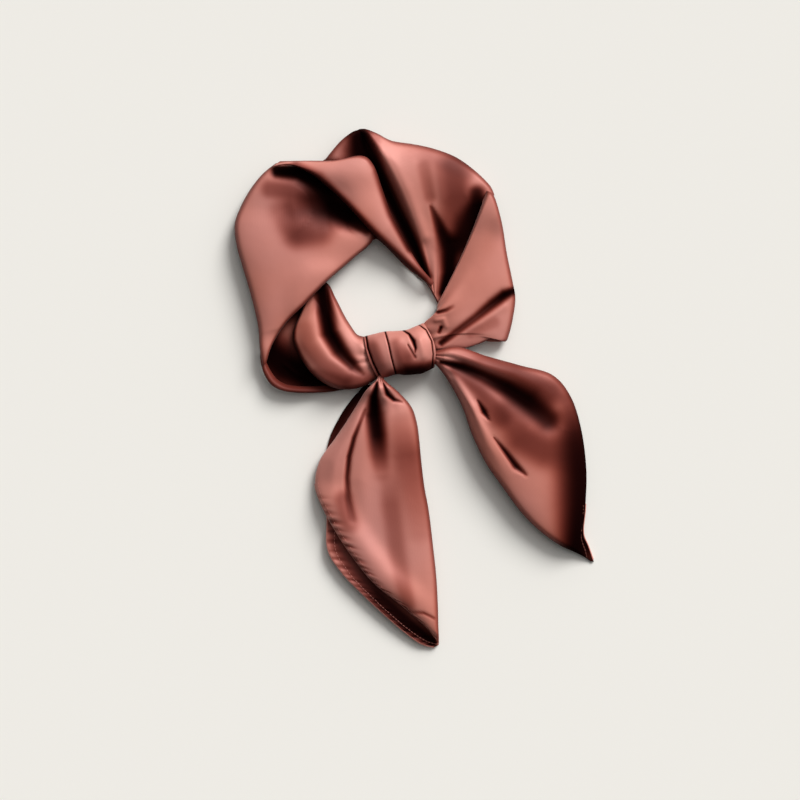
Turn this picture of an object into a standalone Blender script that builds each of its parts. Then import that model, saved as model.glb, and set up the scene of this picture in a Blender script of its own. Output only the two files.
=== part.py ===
"""A square satin head scarf: folded to a band, wound to a loop, tied once and laid flat.

Every layer of cloth is an open surface lofted through a short table of sections and then given
its wall. A section crosses its layer from a start edge to an end edge, and all its lengths are
shares of the named sizes below. Upper layers are lifted clear of the layers that they lie on.
"""

import math
from typing import NamedTuple

import bmesh
import bpy
from mathutils import Vector
from mathutils.bvhtree import BVHTree

# Driving dimensions, in metres
LOOP_WIDTH = 0.210
LOOP_DEPTH = 0.198
LOOP_HEIGHT = 0.026
KNOT_LENGTH = 0.055
KNOT_BREADTH = 0.034
KNOT_HEIGHT = 0.026
LEFT_TAIL_WIDTH = 0.0915
LEFT_TAIL_LENGTH = 0.2025
LEFT_TAIL_HEIGHT = 0.013
RIGHT_TAIL_WIDTH = 0.117
RIGHT_TAIL_LENGTH = 0.154
RIGHT_TAIL_HEIGHT = 0.016
RIM_HEIGHT = 0.007
CLOTH = 0.0012
GAP = 0.0003
FOLD_RADIUS = 0.0022
TUCK = 0.006
LIFT_REACH = 0.005
WRAP_DEPTH = 0.0022

# Steps of the lofts: along and across a layer, across a flat one, round a rolled edge, of the knot
ROWS_PER_SECTION = 2
SPAN_STEPS = 10
FLAT_STEPS = 3
ROLL_STEPS = 3
KNOT_ROWS = 17
KNOT_SIDES = 18

# A narrow section's rolled edge and tuck take at most this share of it
ROLL_SHARE = 0.2

# Cloth steeper than this, as the upward part of its normal, is cleared as if it were this steep
STEEPEST_LEVEL = 0.3

# Two layers' middle surfaces stay this share of a wall apart for each unit of steepness, and a gap
WALL_SHARE = 0.85

# A rise across a section is a sine to this power, so its top is broader than a plain arch's
ARCH_POWER = 0.8

# Points of the knot's surface nearer than this are one point
WELD = 0.00001

# The height of a layer's middle surface where it rests on the under layer, and on the floor
ON_UNDER_LAYER = CLOTH + GAP + CLOTH / 2
ON_FLOOR = CLOTH / 2

SATIN_COLOUR = (0.42, 0.13, 0.095, 1.0)
SATIN_ROUGHNESS = 0.42


class Section(NamedTuple):
    """One crossing of a layer: its edges in plan, their heights, and the rise between them."""

    start_x: float
    start_y: float
    start_z: float
    end_x: float
    end_y: float
    end_z: float
    crown: float
    bow: float = 0.0


class Crease(NamedTuple):
    """A ridge (lift above 0) or a groove (below 0) between two places of a layer's own plan.

    along runs from 0 at the first section to 1 at the last, across from the start edge to the
    end edge.
    """

    along_1: float
    across_1: float
    along_2: float
    across_2: float
    half_width: float
    lift: float


class Frame(NamedTuple):
    """The point and the sizes that a table's shares are measured from."""

    x: float
    y: float
    width: float
    depth: float
    height: float


class Ring(NamedTuple):
    """One ring of the knot: its top and bottom edges in plan, and how high it stands."""

    top_x: float
    top_y: float
    bottom_x: float
    bottom_y: float
    height: float


LOOP = Frame(0.0, 0.0, LOOP_WIDTH, LOOP_DEPTH, LOOP_HEIGHT)
RIM = Frame(0.0, 0.0, LOOP_WIDTH, LOOP_DEPTH, RIM_HEIGHT)

# The knot sits on the loop's lower right, and the tails leave its two lower corners
KNOT = Frame(0.10 * LOOP_WIDTH, -0.355 * LOOP_DEPTH, KNOT_LENGTH, KNOT_BREADTH, KNOT_HEIGHT)
LEFT_TAIL = Frame(
    KNOT.x - 0.34 * KNOT_LENGTH,
    KNOT.y - 0.52 * KNOT_BREADTH,
    LEFT_TAIL_WIDTH,
    LEFT_TAIL_LENGTH,
    LEFT_TAIL_HEIGHT,
)
RIGHT_TAIL = Frame(
    KNOT.x + 0.47 * KNOT_LENGTH,
    KNOT.y - 0.10 * KNOT_BREADTH,
    RIGHT_TAIL_WIDTH,
    RIGHT_TAIL_LENGTH,
    RIGHT_TAIL_HEIGHT,
)

# Outer edge first, then the edge at the opening, from the knot's left side round to its right
UNDER_SECTIONS = [
    Section(-0.02, -0.44, 0.0, -0.05, -0.33, 0.0, 0.0),
    Section(-0.11, -0.49, 0.0, -0.09, -0.29, 0.0, 0.0),
    Section(-0.27, -0.49, 0.0, -0.14, -0.20, 0.0, 0.0),
    Section(-0.38, -0.43, 0.0, -0.18, -0.10, 0.0, 0.0),
    Section(-0.41, -0.17, 0.0, -0.14, -0.05, 0.0, 0.0),
    Section(-0.47, 0.11, 0.0, -0.06, 0.02, 0.0, 0.0),
    Section(-0.35, 0.35, 0.0, -0.02, 0.08, 0.0, 0.0),
    Section(-0.19, 0.36, 0.0, 0.02, 0.06, 0.0, 0.0),
    Section(-0.04, 0.47, 0.0, 0.08, 0.01, 0.0, 0.0),
    Section(0.13, 0.41, 0.0, 0.14, -0.04, 0.0, 0.0),
    Section(0.33, 0.32, 0.0, 0.21, -0.09, 0.0, 0.0),
    Section(0.41, 0.18, 0.0, 0.24, -0.14, 0.0, 0.0),
    Section(0.46, -0.11, 0.0, 0.25, -0.18, 0.0, 0.0),
    Section(0.44, -0.26, 0.0, 0.25, -0.22, 0.0, 0.0),
    Section(0.30, -0.30, 0.0, 0.25, -0.27, 0.0, 0.0),
]

# Outer edge first, then inner, along the turned edge at the loop's lower left
RIM_SECTIONS = [
    Section(-0.404, -0.375, 0.0, -0.380, -0.370, 0.0, 0.30),
    Section(-0.396, -0.425, 0.0, -0.373, -0.408, 0.0, 0.60),
    Section(-0.368, -0.465, 0.0, -0.350, -0.439, 0.0, 0.80),
    Section(-0.325, -0.490, 0.0, -0.314, -0.461, 0.0, 0.80),
    Section(-0.260, -0.500, 0.0, -0.260, -0.470, 0.0, 0.60),
    Section(-0.190, -0.500, 0.0, -0.190, -0.475, 0.0, 0.25),
]

# Outer edge first, then the folded edge that crosses the opening's left corner
LEFT_FOLD_SECTIONS = [
    Section(-0.40, -0.40, 0.22, -0.375, -0.385, 0.30, 0.04),
    Section(-0.41, -0.34, 0.04, -0.36, -0.31, 0.42, 0.12),
    Section(-0.42, -0.24, 0.0, -0.315, -0.235, 0.45, 0.30),
    Section(-0.44, -0.13, 0.0, -0.25, -0.165, 0.42, 0.46),
    Section(-0.47, -0.04, 0.0, -0.175, -0.08, 0.14, 0.62),
    Section(-0.495, 0.06, 0.0, -0.09, 0.005, 0.0, 0.66),
    Section(-0.50, 0.14, 0.0, -0.015, 0.075, 0.0, 0.52),
    Section(-0.48, 0.20, 0.0, -0.03, 0.14, 0.0, 0.36),
    Section(-0.44, 0.28, 0.0, -0.11, 0.23, 0.0, 0.30),
    Section(-0.395, 0.335, 0.0, -0.16, 0.31, 0.0, 0.24),
    Section(-0.35, 0.37, 0.0, -0.20, 0.365, 0.0, 0.10),
]
LEFT_FOLD_CREASES = [
    Crease(0.70, 0.95, 0.92, 0.55, 0.20, -0.24),
    Crease(0.45, 0.30, 0.80, 0.22, 0.16, 0.10),
]

# The edge at the opening first, then the rolled outer edge
INNER_FOLD_SECTIONS = [
    Section(-0.046, -0.295, 0.06, -0.006, -0.435, 0.06, 0.36),
    Section(-0.07, -0.28, 0.0, -0.07, -0.482, 0.0, 0.44),
    Section(-0.095, -0.24, 0.0, -0.15, -0.482, 0.0, 0.48),
    Section(-0.115, -0.20, 0.0, -0.225, -0.42, 0.02, 0.48),
    Section(-0.13, -0.16, 0.0, -0.27, -0.35, 0.03, 0.42),
    Section(-0.15, -0.12, 0.0, -0.29, -0.28, 0.03, 0.34),
    Section(-0.17, -0.09, 0.0, -0.28, -0.215, 0.03, 0.22),
    Section(-0.20, -0.065, 0.0, -0.255, -0.155, 0.02, 0.10),
]
INNER_FOLD_CREASES = [
    Crease(0.20, 0.40, 0.95, 0.36, 0.10, -0.26),
    Crease(0.10, 0.74, 0.85, 0.76, 0.14, 0.12),
]

# The rolled lower left edge first, then the edge towards the mouth of the band
CROSS_FOLD_SECTIONS = [
    Section(-0.365, 0.355, 0.30, -0.33, 0.375, 0.28, 0.05),
    Section(-0.30, 0.36, 0.42, -0.25, 0.38, 0.30, 0.18),
    Section(-0.23, 0.33, 0.42, -0.14, 0.38, 0.30, 0.30),
    Section(-0.17, 0.28, 0.42, -0.045, 0.395, 0.32, 0.36),
    Section(-0.11, 0.225, 0.42, -0.01, 0.36, 0.36, 0.36),
    Section(-0.06, 0.175, 0.38, 0.02, 0.28, 0.36, 0.34),
    Section(-0.005, 0.105, 0.28, 0.06, 0.18, 0.34, 0.30),
    Section(0.065, 0.03, 0.14, 0.10, 0.08, 0.30, 0.24),
    Section(0.14, -0.04, 0.08, 0.15, -0.01, 0.24, 0.16),
    Section(0.195, -0.105, 0.08, 0.21, -0.085, 0.18, 0.06),
]

# Near the knot first, then the outer rim: each section is a ray of the fan
BACK_FOLD_SECTIONS = [
    Section(0.175, -0.055, 0.04, -0.16, 0.37, 0.10, 0.0),
    Section(0.185, -0.075, 0.0, -0.09, 0.455, 0.10, 0.0),
    Section(0.20, -0.095, 0.10, -0.03, 0.495, 0.30, 0.40, 0.03),
    Section(0.21, -0.115, 0.12, 0.04, 0.46, 0.04, 0.66, 0.03),
    Section(0.215, -0.13, 0.12, 0.14, 0.445, 0.0, 0.74, 0.02),
    Section(0.22, -0.14, 0.10, 0.21, 0.425, 0.0, 0.66),
    Section(0.225, -0.15, 0.08, 0.29, 0.395, 0.0, 0.60),
    Section(0.23, -0.155, 0.06, 0.35, 0.35, 0.0, 0.46),
    Section(0.235, -0.16, 0.05, 0.41, 0.29, 0.0, 0.28),
    Section(0.24, -0.17, 0.05, 0.44, 0.215, 0.0, 0.18),
]
BACK_FOLD_CREASES = [
    Crease(0.58, 0.05, 0.56, 0.55, 0.06, -0.22),
]

# Near the knot first, then the outer rim, from the crisp left edge down to the lower corner
RIGHT_FOLD_SECTIONS = [
    Section(0.225, -0.165, 0.10, 0.40, 0.22, 0.36, 0.20),
    Section(0.225, -0.178, 0.12, 0.44, 0.205, 0.16, 0.40),
    Section(0.222, -0.192, 0.14, 0.45, 0.12, 0.0, 0.58),
    Section(0.215, -0.212, 0.14, 0.475, 0.01, 0.0, 0.60),
    Section(0.222, -0.235, 0.14, 0.49, -0.08, 0.0, 0.46),
    Section(0.228, -0.255, 0.12, 0.497, -0.145, 0.0, 0.20),
    Section(0.230, -0.275, 0.12, 0.492, -0.22, 0.0, 0.26),
    Section(0.232, -0.290, 0.10, 0.478, -0.285, 0.0, 0.28),
    Section(0.232, -0.302, 0.08, 0.435, -0.30, 0.0, 0.24),
    Section(0.234, -0.312, 0.06, 0.37, -0.32, 0.0, 0.16),
    Section(0.236, -0.320, 0.04, 0.29, -0.335, 0.0, 0.04),
]

# Rings of the wrapped knot, from its left end to its right
KNOT_RINGS = [
    Ring(-0.55, 0.38, -0.34, -0.51, 0.80),
    Ring(-0.41, 0.44, -0.25, -0.53, 0.96),
    Ring(-0.25, 0.51, -0.11, -0.46, 1.0),
    Ring(-0.03, 0.53, 0.10, -0.46, 1.0),
    Ring(0.16, 0.62, 0.26, -0.44, 0.95),
    Ring(0.32, 0.70, 0.38, -0.32, 0.86),
    Ring(0.41, 0.49, 0.45, -0.15, 0.72),
]

# Where along the knot one wrap ends and the next begins, and how wide that groove is
WRAP_EDGES = (0.30, 0.66)
WRAP_EDGE_WIDTH = 0.05

# Left leaf edge first, then the folded right edge, from the knot to the tip
LEFT_TAIL_SECTIONS = [
    Section(-0.03, -0.003, 0.80, 0.07, -0.005, 0.75, 0.10),
    Section(-0.13, -0.08, 0.30, 0.21, -0.075, 0.25, 0.60),
    Section(-0.25, -0.15, 0.12, 0.30, -0.14, 0.08, 0.85),
    Section(-0.37, -0.24, 0.06, 0.34, -0.23, 0.0, 0.85),
    Section(-0.48, -0.34, 0.05, 0.37, -0.34, 0.0, 0.75),
    Section(-0.48, -0.45, 0.08, 0.41, -0.48, 0.0, 0.60),
    Section(-0.36, -0.565, 0.10, 0.45, -0.63, 0.0, 0.50),
    Section(-0.19, -0.68, 0.10, 0.48, -0.77, 0.0, 0.40),
    Section(0.05, -0.80, 0.08, 0.49, -0.88, 0.0, 0.28),
    Section(0.30, -0.90, 0.05, 0.49, -0.95, 0.0, 0.12),
    Section(0.42, -0.965, 0.0, 0.495, -0.99, 0.0, 0.02),
]
LEFT_TAIL_CREASES = [
    Crease(0.02, 0.36, 0.24, 0.44, 0.11, -0.70),
    Crease(0.24, 0.44, 0.42, 0.60, 0.10, -0.35),
    Crease(0.12, 0.24, 0.55, 0.28, 0.06, -0.30),
]
LEFT_UNDER_LEAF_SECTIONS = [
    Section(-0.22, -0.20, 0.0, 0.24, -0.20, 0.0, 0.0),
    Section(-0.40, -0.34, 0.0, 0.30, -0.34, 0.0, 0.0),
    Section(-0.43, -0.50, 0.0, 0.34, -0.50, 0.0, 0.0),
    Section(-0.43, -0.62, 0.0, 0.38, -0.65, 0.0, 0.0),
    Section(-0.27, -0.75, 0.0, 0.41, -0.79, 0.0, 0.0),
    Section(0.0, -0.87, 0.0, 0.43, -0.90, 0.0, 0.0),
    Section(0.25, -0.965, 0.0, 0.45, -0.975, 0.0, 0.0),
    Section(0.42, -1.005, 0.0, 0.49, -1.005, 0.0, 0.0),
]

# Lower left edge first, then the rolled upper edge, from the knot to the tip
RIGHT_TAIL_SECTIONS = [
    Section(-0.004, -0.025, 0.42, -0.004, 0.03, 0.44, 0.05),
    Section(0.10, -0.14, 0.10, 0.17, 0.03, 0.30, 0.30),
    Section(0.17, -0.24, 0.0, 0.34, 0.0, 0.18, 0.55),
    Section(0.24, -0.395, 0.0, 0.545, -0.035, 0.10, 0.75),
    Section(0.315, -0.51, 0.0, 0.74, -0.085, 0.05, 0.80),
    Section(0.415, -0.625, 0.0, 0.86, -0.19, 0.0, 0.75),
    Section(0.53, -0.745, 0.0, 0.935, -0.37, 0.0, 0.65),
    Section(0.66, -0.845, 0.0, 0.955, -0.57, 0.0, 0.50),
    Section(0.79, -0.915, 0.0, 0.935, -0.77, 0.0, 0.32),
    Section(0.90, -0.955, 0.0, 0.95, -0.89, 0.0, 0.12),
    Section(0.975, -0.995, 0.0, 1.0, -0.985, 0.0, 0.02),
]
RIGHT_TAIL_CREASES = [
    Crease(0.05, 0.72, 0.50, 0.68, 0.11, -0.62),
    Crease(0.20, 0.24, 0.50, 0.22, 0.07, -0.32),
    Crease(0.60, 0.85, 0.80, 0.80, 0.12, -0.25),
]


def smooth_row(rows, place):
    """Reads a table of sections at a place from 0 to 1, on a Catmull-Rom curve through its rows."""
    last = len(rows) - 1
    index = min(int(place * last), last - 1)
    t = place * last - index
    before = rows[max(index - 1, 0)]
    first, second = rows[index], rows[index + 1]
    after = rows[min(index + 2, last)]
    values = []
    for a, b, c, d in zip(before, first, second, after):
        slope_1 = (c - a) / 2
        slope_2 = (d - b) / 2
        values.append(
            b * (2 * t**3 - 3 * t**2 + 1)
            + slope_1 * (t**3 - 2 * t**2 + t)
            + c * (3 * t**2 - 2 * t**3)
            + slope_2 * (t**3 - t**2)
        )
    return type(first)(*values)


def crease_lift(creases, along, across):
    """The height that the ridges and grooves add at one place of a layer."""
    total = 0.0
    for crease in creases:
        line = Vector((crease.along_2 - crease.along_1, crease.across_2 - crease.across_1))
        offset = Vector((along - crease.along_1, across - crease.across_1))
        share = min(max(offset.dot(line) / line.dot(line), 0.0), 1.0)
        distance = (offset - line * share).length / crease.half_width
        total += crease.lift * math.exp(-distance * distance)
    return total


def across_profile(length, start_roll, end_roll, span_steps):
    """Steps across a section as (offset, share of the span, height above the edge, its edge).

    A rolled edge turns down and tucks under the layer, and a cut edge ends the layer.
    """
    start_radius = min(start_roll, ROLL_SHARE * length)
    end_radius = min(end_roll, ROLL_SHARE * length)
    tuck = min(TUCK, ROLL_SHARE * length)
    steps = []
    if start_roll:
        steps.append((start_radius + tuck, 0.0, -start_radius))
        for step in range(ROLL_STEPS):
            angle = math.pi * (step / ROLL_STEPS - 0.5)
            height = start_radius * math.sin(angle)
            steps.append((start_radius * (1 - math.cos(angle)), 0.0, height))
    for step in range(span_steps + 1):
        share = 0.5 - 0.5 * math.cos(math.pi * step / span_steps)
        offset = start_radius + share * (length - start_radius - end_radius)
        rise = start_radius + share * (end_radius - start_radius)
        steps.append((offset, share, rise))
    if end_roll:
        for step in range(ROLL_STEPS):
            angle = math.pi * (0.5 - (step + 1) / ROLL_STEPS)
            height = end_radius * math.sin(angle)
            steps.append((length - end_radius * (1 - math.cos(angle)), 1.0, height))
        steps.append((length - end_radius - tuck, 1.0, -end_radius))
    return steps


def layer_surface(frame, sections, creases, rest_z, rolls, span_steps=SPAN_STEPS):
    """Lofts a layer through its sections, from a grid moved into place."""
    start_roll, end_roll = (FOLD_RADIUS if rolled else 0.0 for rolled in rolls)
    rows = (len(sections) - 1) * ROWS_PER_SECTION
    columns = len(across_profile(1.0, start_roll, end_roll, span_steps)) - 1
    surface = bmesh.new()
    bmesh.ops.create_grid(surface, x_segments=columns, y_segments=rows, size=0.5)
    profiles = {}
    for vertex in surface.verts:
        along = round((vertex.co.y + 0.5) * rows) / rows
        column = round((vertex.co.x + 0.5) * columns)
        if along not in profiles:
            row = smooth_row(sections, along)
            start = Vector((frame.x + row.start_x * frame.width, frame.y + row.start_y * frame.depth))
            end = Vector((frame.x + row.end_x * frame.width, frame.y + row.end_y * frame.depth))
            profile = across_profile((end - start).length, start_roll, end_roll, span_steps)
            profiles[along] = row, start, end, profile
        row, start, end, profile = profiles[along]
        offset, share, rise = profile[column]
        direction = (end - start).normalized()
        sideways = Vector((-direction.y, direction.x))
        arch = math.sin(math.pi * share)
        place = start + direction * offset - sideways * (row.bow * frame.width * arch)
        height = row.start_z + share * (row.end_z - row.start_z) + row.crown * arch**ARCH_POWER
        height += crease_lift(creases, along, share) * arch
        most_radius = ROLL_SHARE * (end - start).length
        base = rest_z + min(start_roll, most_radius) * (1 - share) + min(end_roll, most_radius) * share
        vertex.co = (place.x, place.y, max(base + height * frame.height + rise, rest_z))
    return surface


def object_from(name, surface):
    """Makes an object of a surface, in satin."""
    bmesh.ops.recalc_face_normals(surface, faces=surface.faces)
    mesh = bpy.data.meshes.new(name)
    surface.to_mesh(mesh)
    surface.free()
    mesh.shade_smooth()
    material = bpy.data.materials.new(name)
    material.use_nodes = True
    shader = material.node_tree.nodes["Principled BSDF"]
    shader.inputs["Base Color"].default_value = SATIN_COLOUR
    shader.inputs["Roughness"].default_value = SATIN_ROUGHNESS
    shader.inputs["Metallic"].default_value = 0.0
    mesh.materials.append(material)
    item = bpy.data.objects.new(name, mesh)
    scarf.objects.link(item)
    return item


def give_wall(item, offset=0.0):
    """Turns an open surface into a wall of cloth."""
    wall = item.modifiers.new("Cloth wall", "SOLIDIFY")
    wall.thickness = CLOTH
    wall.offset = offset
    return item


def clearance(*normals):
    """How far a layer's middle surface stays above the layer below it: more where either is steep."""
    level = min(abs(normal.z) for normal in normals)
    return GAP + WALL_SHARE * CLOTH / max(level, STEEPEST_LEVEL)


def shortfalls_over(surface, lower):
    """Finds where a surface comes too near the objects below it: each place, and by how much."""
    graph = bpy.context.evaluated_depsgraph_get()
    up, down = Vector((0.0, 0.0, 1.0)), Vector((0.0, 0.0, -1.0))
    surface.normal_update()
    surface_tree = BVHTree.FromBMesh(surface)
    found = []
    for item in lower:
        tree = BVHTree.FromObject(item, graph)
        for vertex in surface.verts:
            top, normal, *_ = tree.ray_cast(Vector((vertex.co.x, vertex.co.y, 1.0)), down)
            if top is not None:
                lowest = top.z + clearance(normal, vertex.normal)
                found.append((vertex.co.copy(), lowest - vertex.co.z))
        for vertex in item.evaluated_get(graph).data.vertices:
            bottom, normal, *_ = surface_tree.ray_cast(Vector((vertex.co.x, vertex.co.y, -1.0)), up)
            if bottom is not None:
                lowest = vertex.co.z + clearance(normal, vertex.normal)
                found.append((bottom, lowest - bottom.z))
    return [(place, missing) for place, missing in found if missing > 0]


def lift_over(surface, lower):
    """Lifts a surface off the objects below it, gently, wherever it would come too near them."""
    shortfalls = shortfalls_over(surface, lower)
    for vertex in surface.verts:
        lift = 0.0
        for place, missing in shortfalls:
            distance = (vertex.co.xy - place.xy).length
            if distance < 2 * LIFT_REACH:
                fade = min(2.0 - distance / LIFT_REACH, 1.0)
                lift = max(lift, missing * fade)
        vertex.co.z += lift


def layer(name, frame, sections, creases=(), rest_z=ON_UNDER_LAYER, rolls=(True, True), over=()):
    """Builds one layer of cloth as an object of its own, clear of the layers that it lies on."""
    surface = layer_surface(frame, sections, creases, rest_z, rolls)
    if over:
        lift_over(surface, over)
    return give_wall(object_from(name, surface))


def build_under_layer():
    """The band's flat bottom layer, which the loop rests on."""
    surface = layer_surface(LOOP, UNDER_SECTIONS, (), ON_FLOOR, (False, False), FLAT_STEPS)
    return give_wall(object_from("loop_under_layer", surface))


def build_knot():
    """The knot's wraps, one tube of cloth that is open at both ends for the gathers."""
    surface = bmesh.new()
    bmesh.ops.create_grid(surface, x_segments=KNOT_SIDES, y_segments=KNOT_ROWS, size=0.5)
    for vertex in surface.verts:
        along = vertex.co.y + 0.5
        ring = smooth_row(KNOT_RINGS, min(max(along, 0.0), 1.0))
        angle = 2 * math.pi * round((vertex.co.x + 0.5) * KNOT_SIDES) / KNOT_SIDES
        dip = sum(math.exp(-(((along - edge) / WRAP_EDGE_WIDTH) ** 2)) for edge in WRAP_EDGES)
        share = 0.5 - 0.5 * math.cos(angle)
        x = ring.top_x + share * (ring.bottom_x - ring.top_x)
        y = ring.top_y + share * (ring.bottom_y - ring.top_y)
        swell = math.copysign(abs(math.sin(angle)) ** ARCH_POWER, math.sin(angle))
        height = 0.5 * ring.height * KNOT.height * (1 + swell)
        height -= WRAP_DEPTH * dip * max(math.sin(angle), 0.0)
        vertex.co = (KNOT.x + x * KNOT.width, KNOT.y + y * KNOT.depth, CLOTH + height)
    bmesh.ops.remove_doubles(surface, verts=surface.verts, dist=WELD)
    return give_wall(object_from("knot", surface), offset=-1.0)


def build_scarf():
    """Builds the layers from the bottom up, then sets the scarf about its origin."""
    build_under_layer()
    inner = layer("inner_fold", LOOP, INNER_FOLD_SECTIONS, INNER_FOLD_CREASES)
    rim = layer("turned_rim", RIM, RIM_SECTIONS)
    left = layer("left_fold", LOOP, LEFT_FOLD_SECTIONS, LEFT_FOLD_CREASES, over=[inner, rim])
    back = layer(
        "back_fold",
        LOOP,
        BACK_FOLD_SECTIONS,
        BACK_FOLD_CREASES,
        rolls=(False, True),
    )
    layer("cross_fold", LOOP, CROSS_FOLD_SECTIONS, over=[left, back])
    layer("right_fold", LOOP, RIGHT_FOLD_SECTIONS, rolls=(False, True), over=[back])
    build_knot()
    leaf = layer(
        "left_tail_under_leaf",
        LEFT_TAIL,
        LEFT_UNDER_LEAF_SECTIONS,
        rest_z=ON_FLOOR,
        rolls=(False, False),
    )
    layer(
        "left_tail",
        LEFT_TAIL,
        LEFT_TAIL_SECTIONS,
        LEFT_TAIL_CREASES,
        rest_z=ON_FLOOR,
        rolls=(False, True),
        over=[leaf],
    )
    layer("right_tail", RIGHT_TAIL, RIGHT_TAIL_SECTIONS, RIGHT_TAIL_CREASES, rest_z=ON_FLOOR)
    centre_on_origin()


def centre_on_origin():
    """Moves every layer so that the origin is under the middle of the scarf's box, on the floor."""
    bpy.context.view_layer.update()
    graph = bpy.context.evaluated_depsgraph_get()
    corners = [
        Vector(corner)
        for item in scarf.objects
        for corner in item.evaluated_get(graph).bound_box
    ]
    low = Vector(min(corner[axis] for corner in corners) for axis in range(3))
    high = Vector(max(corner[axis] for corner in corners) for axis in range(3))
    for item in scarf.objects:
        item.location = (-(low.x + high.x) / 2, -(low.y + high.y) / 2, -low.z)


for old in list(bpy.data.objects):
    bpy.data.objects.remove(old, do_unlink=True)
scarf = bpy.data.collections.new("Head scarf")
bpy.context.scene.collection.children.link(scarf)
build_scarf()
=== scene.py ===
"""Dresses the head scarf in satin: its folds, knot, hems and stitches, in a plain pale studio.

Each layer of cloth is lofted through a short table of sections, shaped by ridges and grooves, laid
over the layers below it and given its wall. In the tables, places in plan are counted in squares of
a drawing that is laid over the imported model's own box, and heights are in millimetres. All other
sizes are in metres.
"""

import logging
import math
from dataclasses import dataclass
from enum import Enum
from typing import Mapping, NamedTuple, Optional, Sequence, Union

import bmesh
import bpy
import numpy as np
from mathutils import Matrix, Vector


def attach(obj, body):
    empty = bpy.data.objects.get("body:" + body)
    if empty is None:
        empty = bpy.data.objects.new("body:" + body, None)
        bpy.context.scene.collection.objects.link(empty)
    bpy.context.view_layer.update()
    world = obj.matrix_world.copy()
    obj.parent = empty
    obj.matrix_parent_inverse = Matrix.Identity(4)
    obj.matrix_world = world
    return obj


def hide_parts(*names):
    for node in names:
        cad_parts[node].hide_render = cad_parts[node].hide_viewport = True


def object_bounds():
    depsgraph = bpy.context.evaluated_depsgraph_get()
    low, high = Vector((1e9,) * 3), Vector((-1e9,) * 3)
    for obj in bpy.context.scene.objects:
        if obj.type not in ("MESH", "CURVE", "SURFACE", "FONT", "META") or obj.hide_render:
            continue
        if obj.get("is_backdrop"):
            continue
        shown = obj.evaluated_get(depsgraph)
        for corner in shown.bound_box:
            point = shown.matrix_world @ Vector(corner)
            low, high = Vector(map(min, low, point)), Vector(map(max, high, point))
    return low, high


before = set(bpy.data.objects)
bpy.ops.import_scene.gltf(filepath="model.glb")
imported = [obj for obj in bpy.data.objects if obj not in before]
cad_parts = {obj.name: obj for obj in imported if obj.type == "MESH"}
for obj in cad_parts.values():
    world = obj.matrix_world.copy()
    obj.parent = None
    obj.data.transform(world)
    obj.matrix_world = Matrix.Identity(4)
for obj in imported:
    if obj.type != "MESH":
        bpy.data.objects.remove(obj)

log = logging.getLogger("head_scarf")

MILLIMETRE = 0.001
BODY = "root"
# Painted shade: the attribute that darkens the satin in creases, hollows, under other layers and along
# folded edges.
SHADE_ATTRIBUTE = "painted_fold_shade"
CLOTH_UV = "cloth"

CLOTH_WALL = 0.0006
LAYER_CLEARANCE = 0.0009
FOLD_RADIUS = 0.0036
FOLD_TUCK = 0.009
HEM_RADIUS = 0.0007
HEM_TUCK = 0.0016
NARROW_SHARE = 0.2
# Painted shade along the folded edges reaches about this far in; the power curves all painted shade.
EDGE_SHADE_WIDTH = 0.0022
PAINTED_SHADE_POWER = 1.6

WELD = 0.000001
TINY = 1e-9

GATHER_SWAY = 0.8
GATHER_SWAY_TURNS = 2.3
GATHER_SWAY_EVERY = 3
GATHER_START = 0.15
MARK_FADE = 2

ALONG_STEPS = 150
SPAN_STEPS = 84
ROLL_STEPS = 7
TUCK_STEPS = 4

Colour = tuple[float, float, float, float]


class Section(NamedTuple):
    """One crossing of a layer: its two edges, their heights, the rise between and its bow."""

    start_x: float
    start_y: float
    start_z: float
    end_x: float
    end_y: float
    end_z: float
    crown: float
    bow: float = 0.0


class Mark(NamedTuple):
    """One place on a ridge or groove: where it is, how wide, how high, and the shade painted there."""

    x: float
    y: float
    half_width: float
    lift: float
    # Painted shade; a negative value takes painted shade away.
    depth: float


class Ring(NamedTuple):
    """One ring of the knot: its top and bottom edges in plan, its height, and its bow."""

    top_x: float
    top_y: float
    bottom_x: float
    bottom_y: float
    height: float
    bow: float


class Gathers(NamedTuple):
    """Fine pleats that fade out from the knot: how many, how high, and how far they reach."""

    count: float
    height: float
    reach: float


@dataclass(frozen=True)
class Puckers:
    """How a stitched hem draws in, in squares of the drawing and in shares of its length."""

    pitch: float = 8.6
    drift: float = 1.3
    drift_run: float = 19
    ripple: float = 0.5
    ripple_run: float = 2.3
    reach: float = 8.0
    fade_in: float = 0.1
    fade_out: float = 0.08
    # The shade painted into the pucker valleys: where it starts and how dark it may get.
    least_valley_shade: float = 0.2
    most_valley_shade: float = 0.8


@dataclass(frozen=True)
class HollowShade:
    """Where cloth lies in a hollow or under another layer, in metres, and how much shade is painted
    there.
    """

    hollow_from: float = 0.0015
    hollow_run: float = 0.012
    hidden_from: float = 0.003
    hidden_run: float = 0.008
    deepening: float = 0.55
    around_cells: int = 14


PUCKERS = Puckers()
HOLLOW_SHADE = HollowShade()


class Edge(Enum):
    """How an edge of a layer ends."""

    FOLDED = "folded over and tucked under"
    HEMMED = "a narrow rolled hem"
    HIDDEN = "runs on under another layer"


class Knotted(Enum):
    """Which side of a layer's table meets the knot."""

    FIRST_SECTION = "its first section"
    START_EDGE = "the start edge of every section"


def table(kind: type, *rows: tuple) -> list:
    """Reads a layer's table, one crossing or ring a row."""
    return [kind(*row) for row in rows]


def strokes(*lines: list[tuple]) -> list[list[Mark]]:
    """Reads a layer's ridges and grooves, with their painted shade, each as the places it runs through.
    """
    return [[Mark(*place) for place in line] for line in lines]


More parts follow.
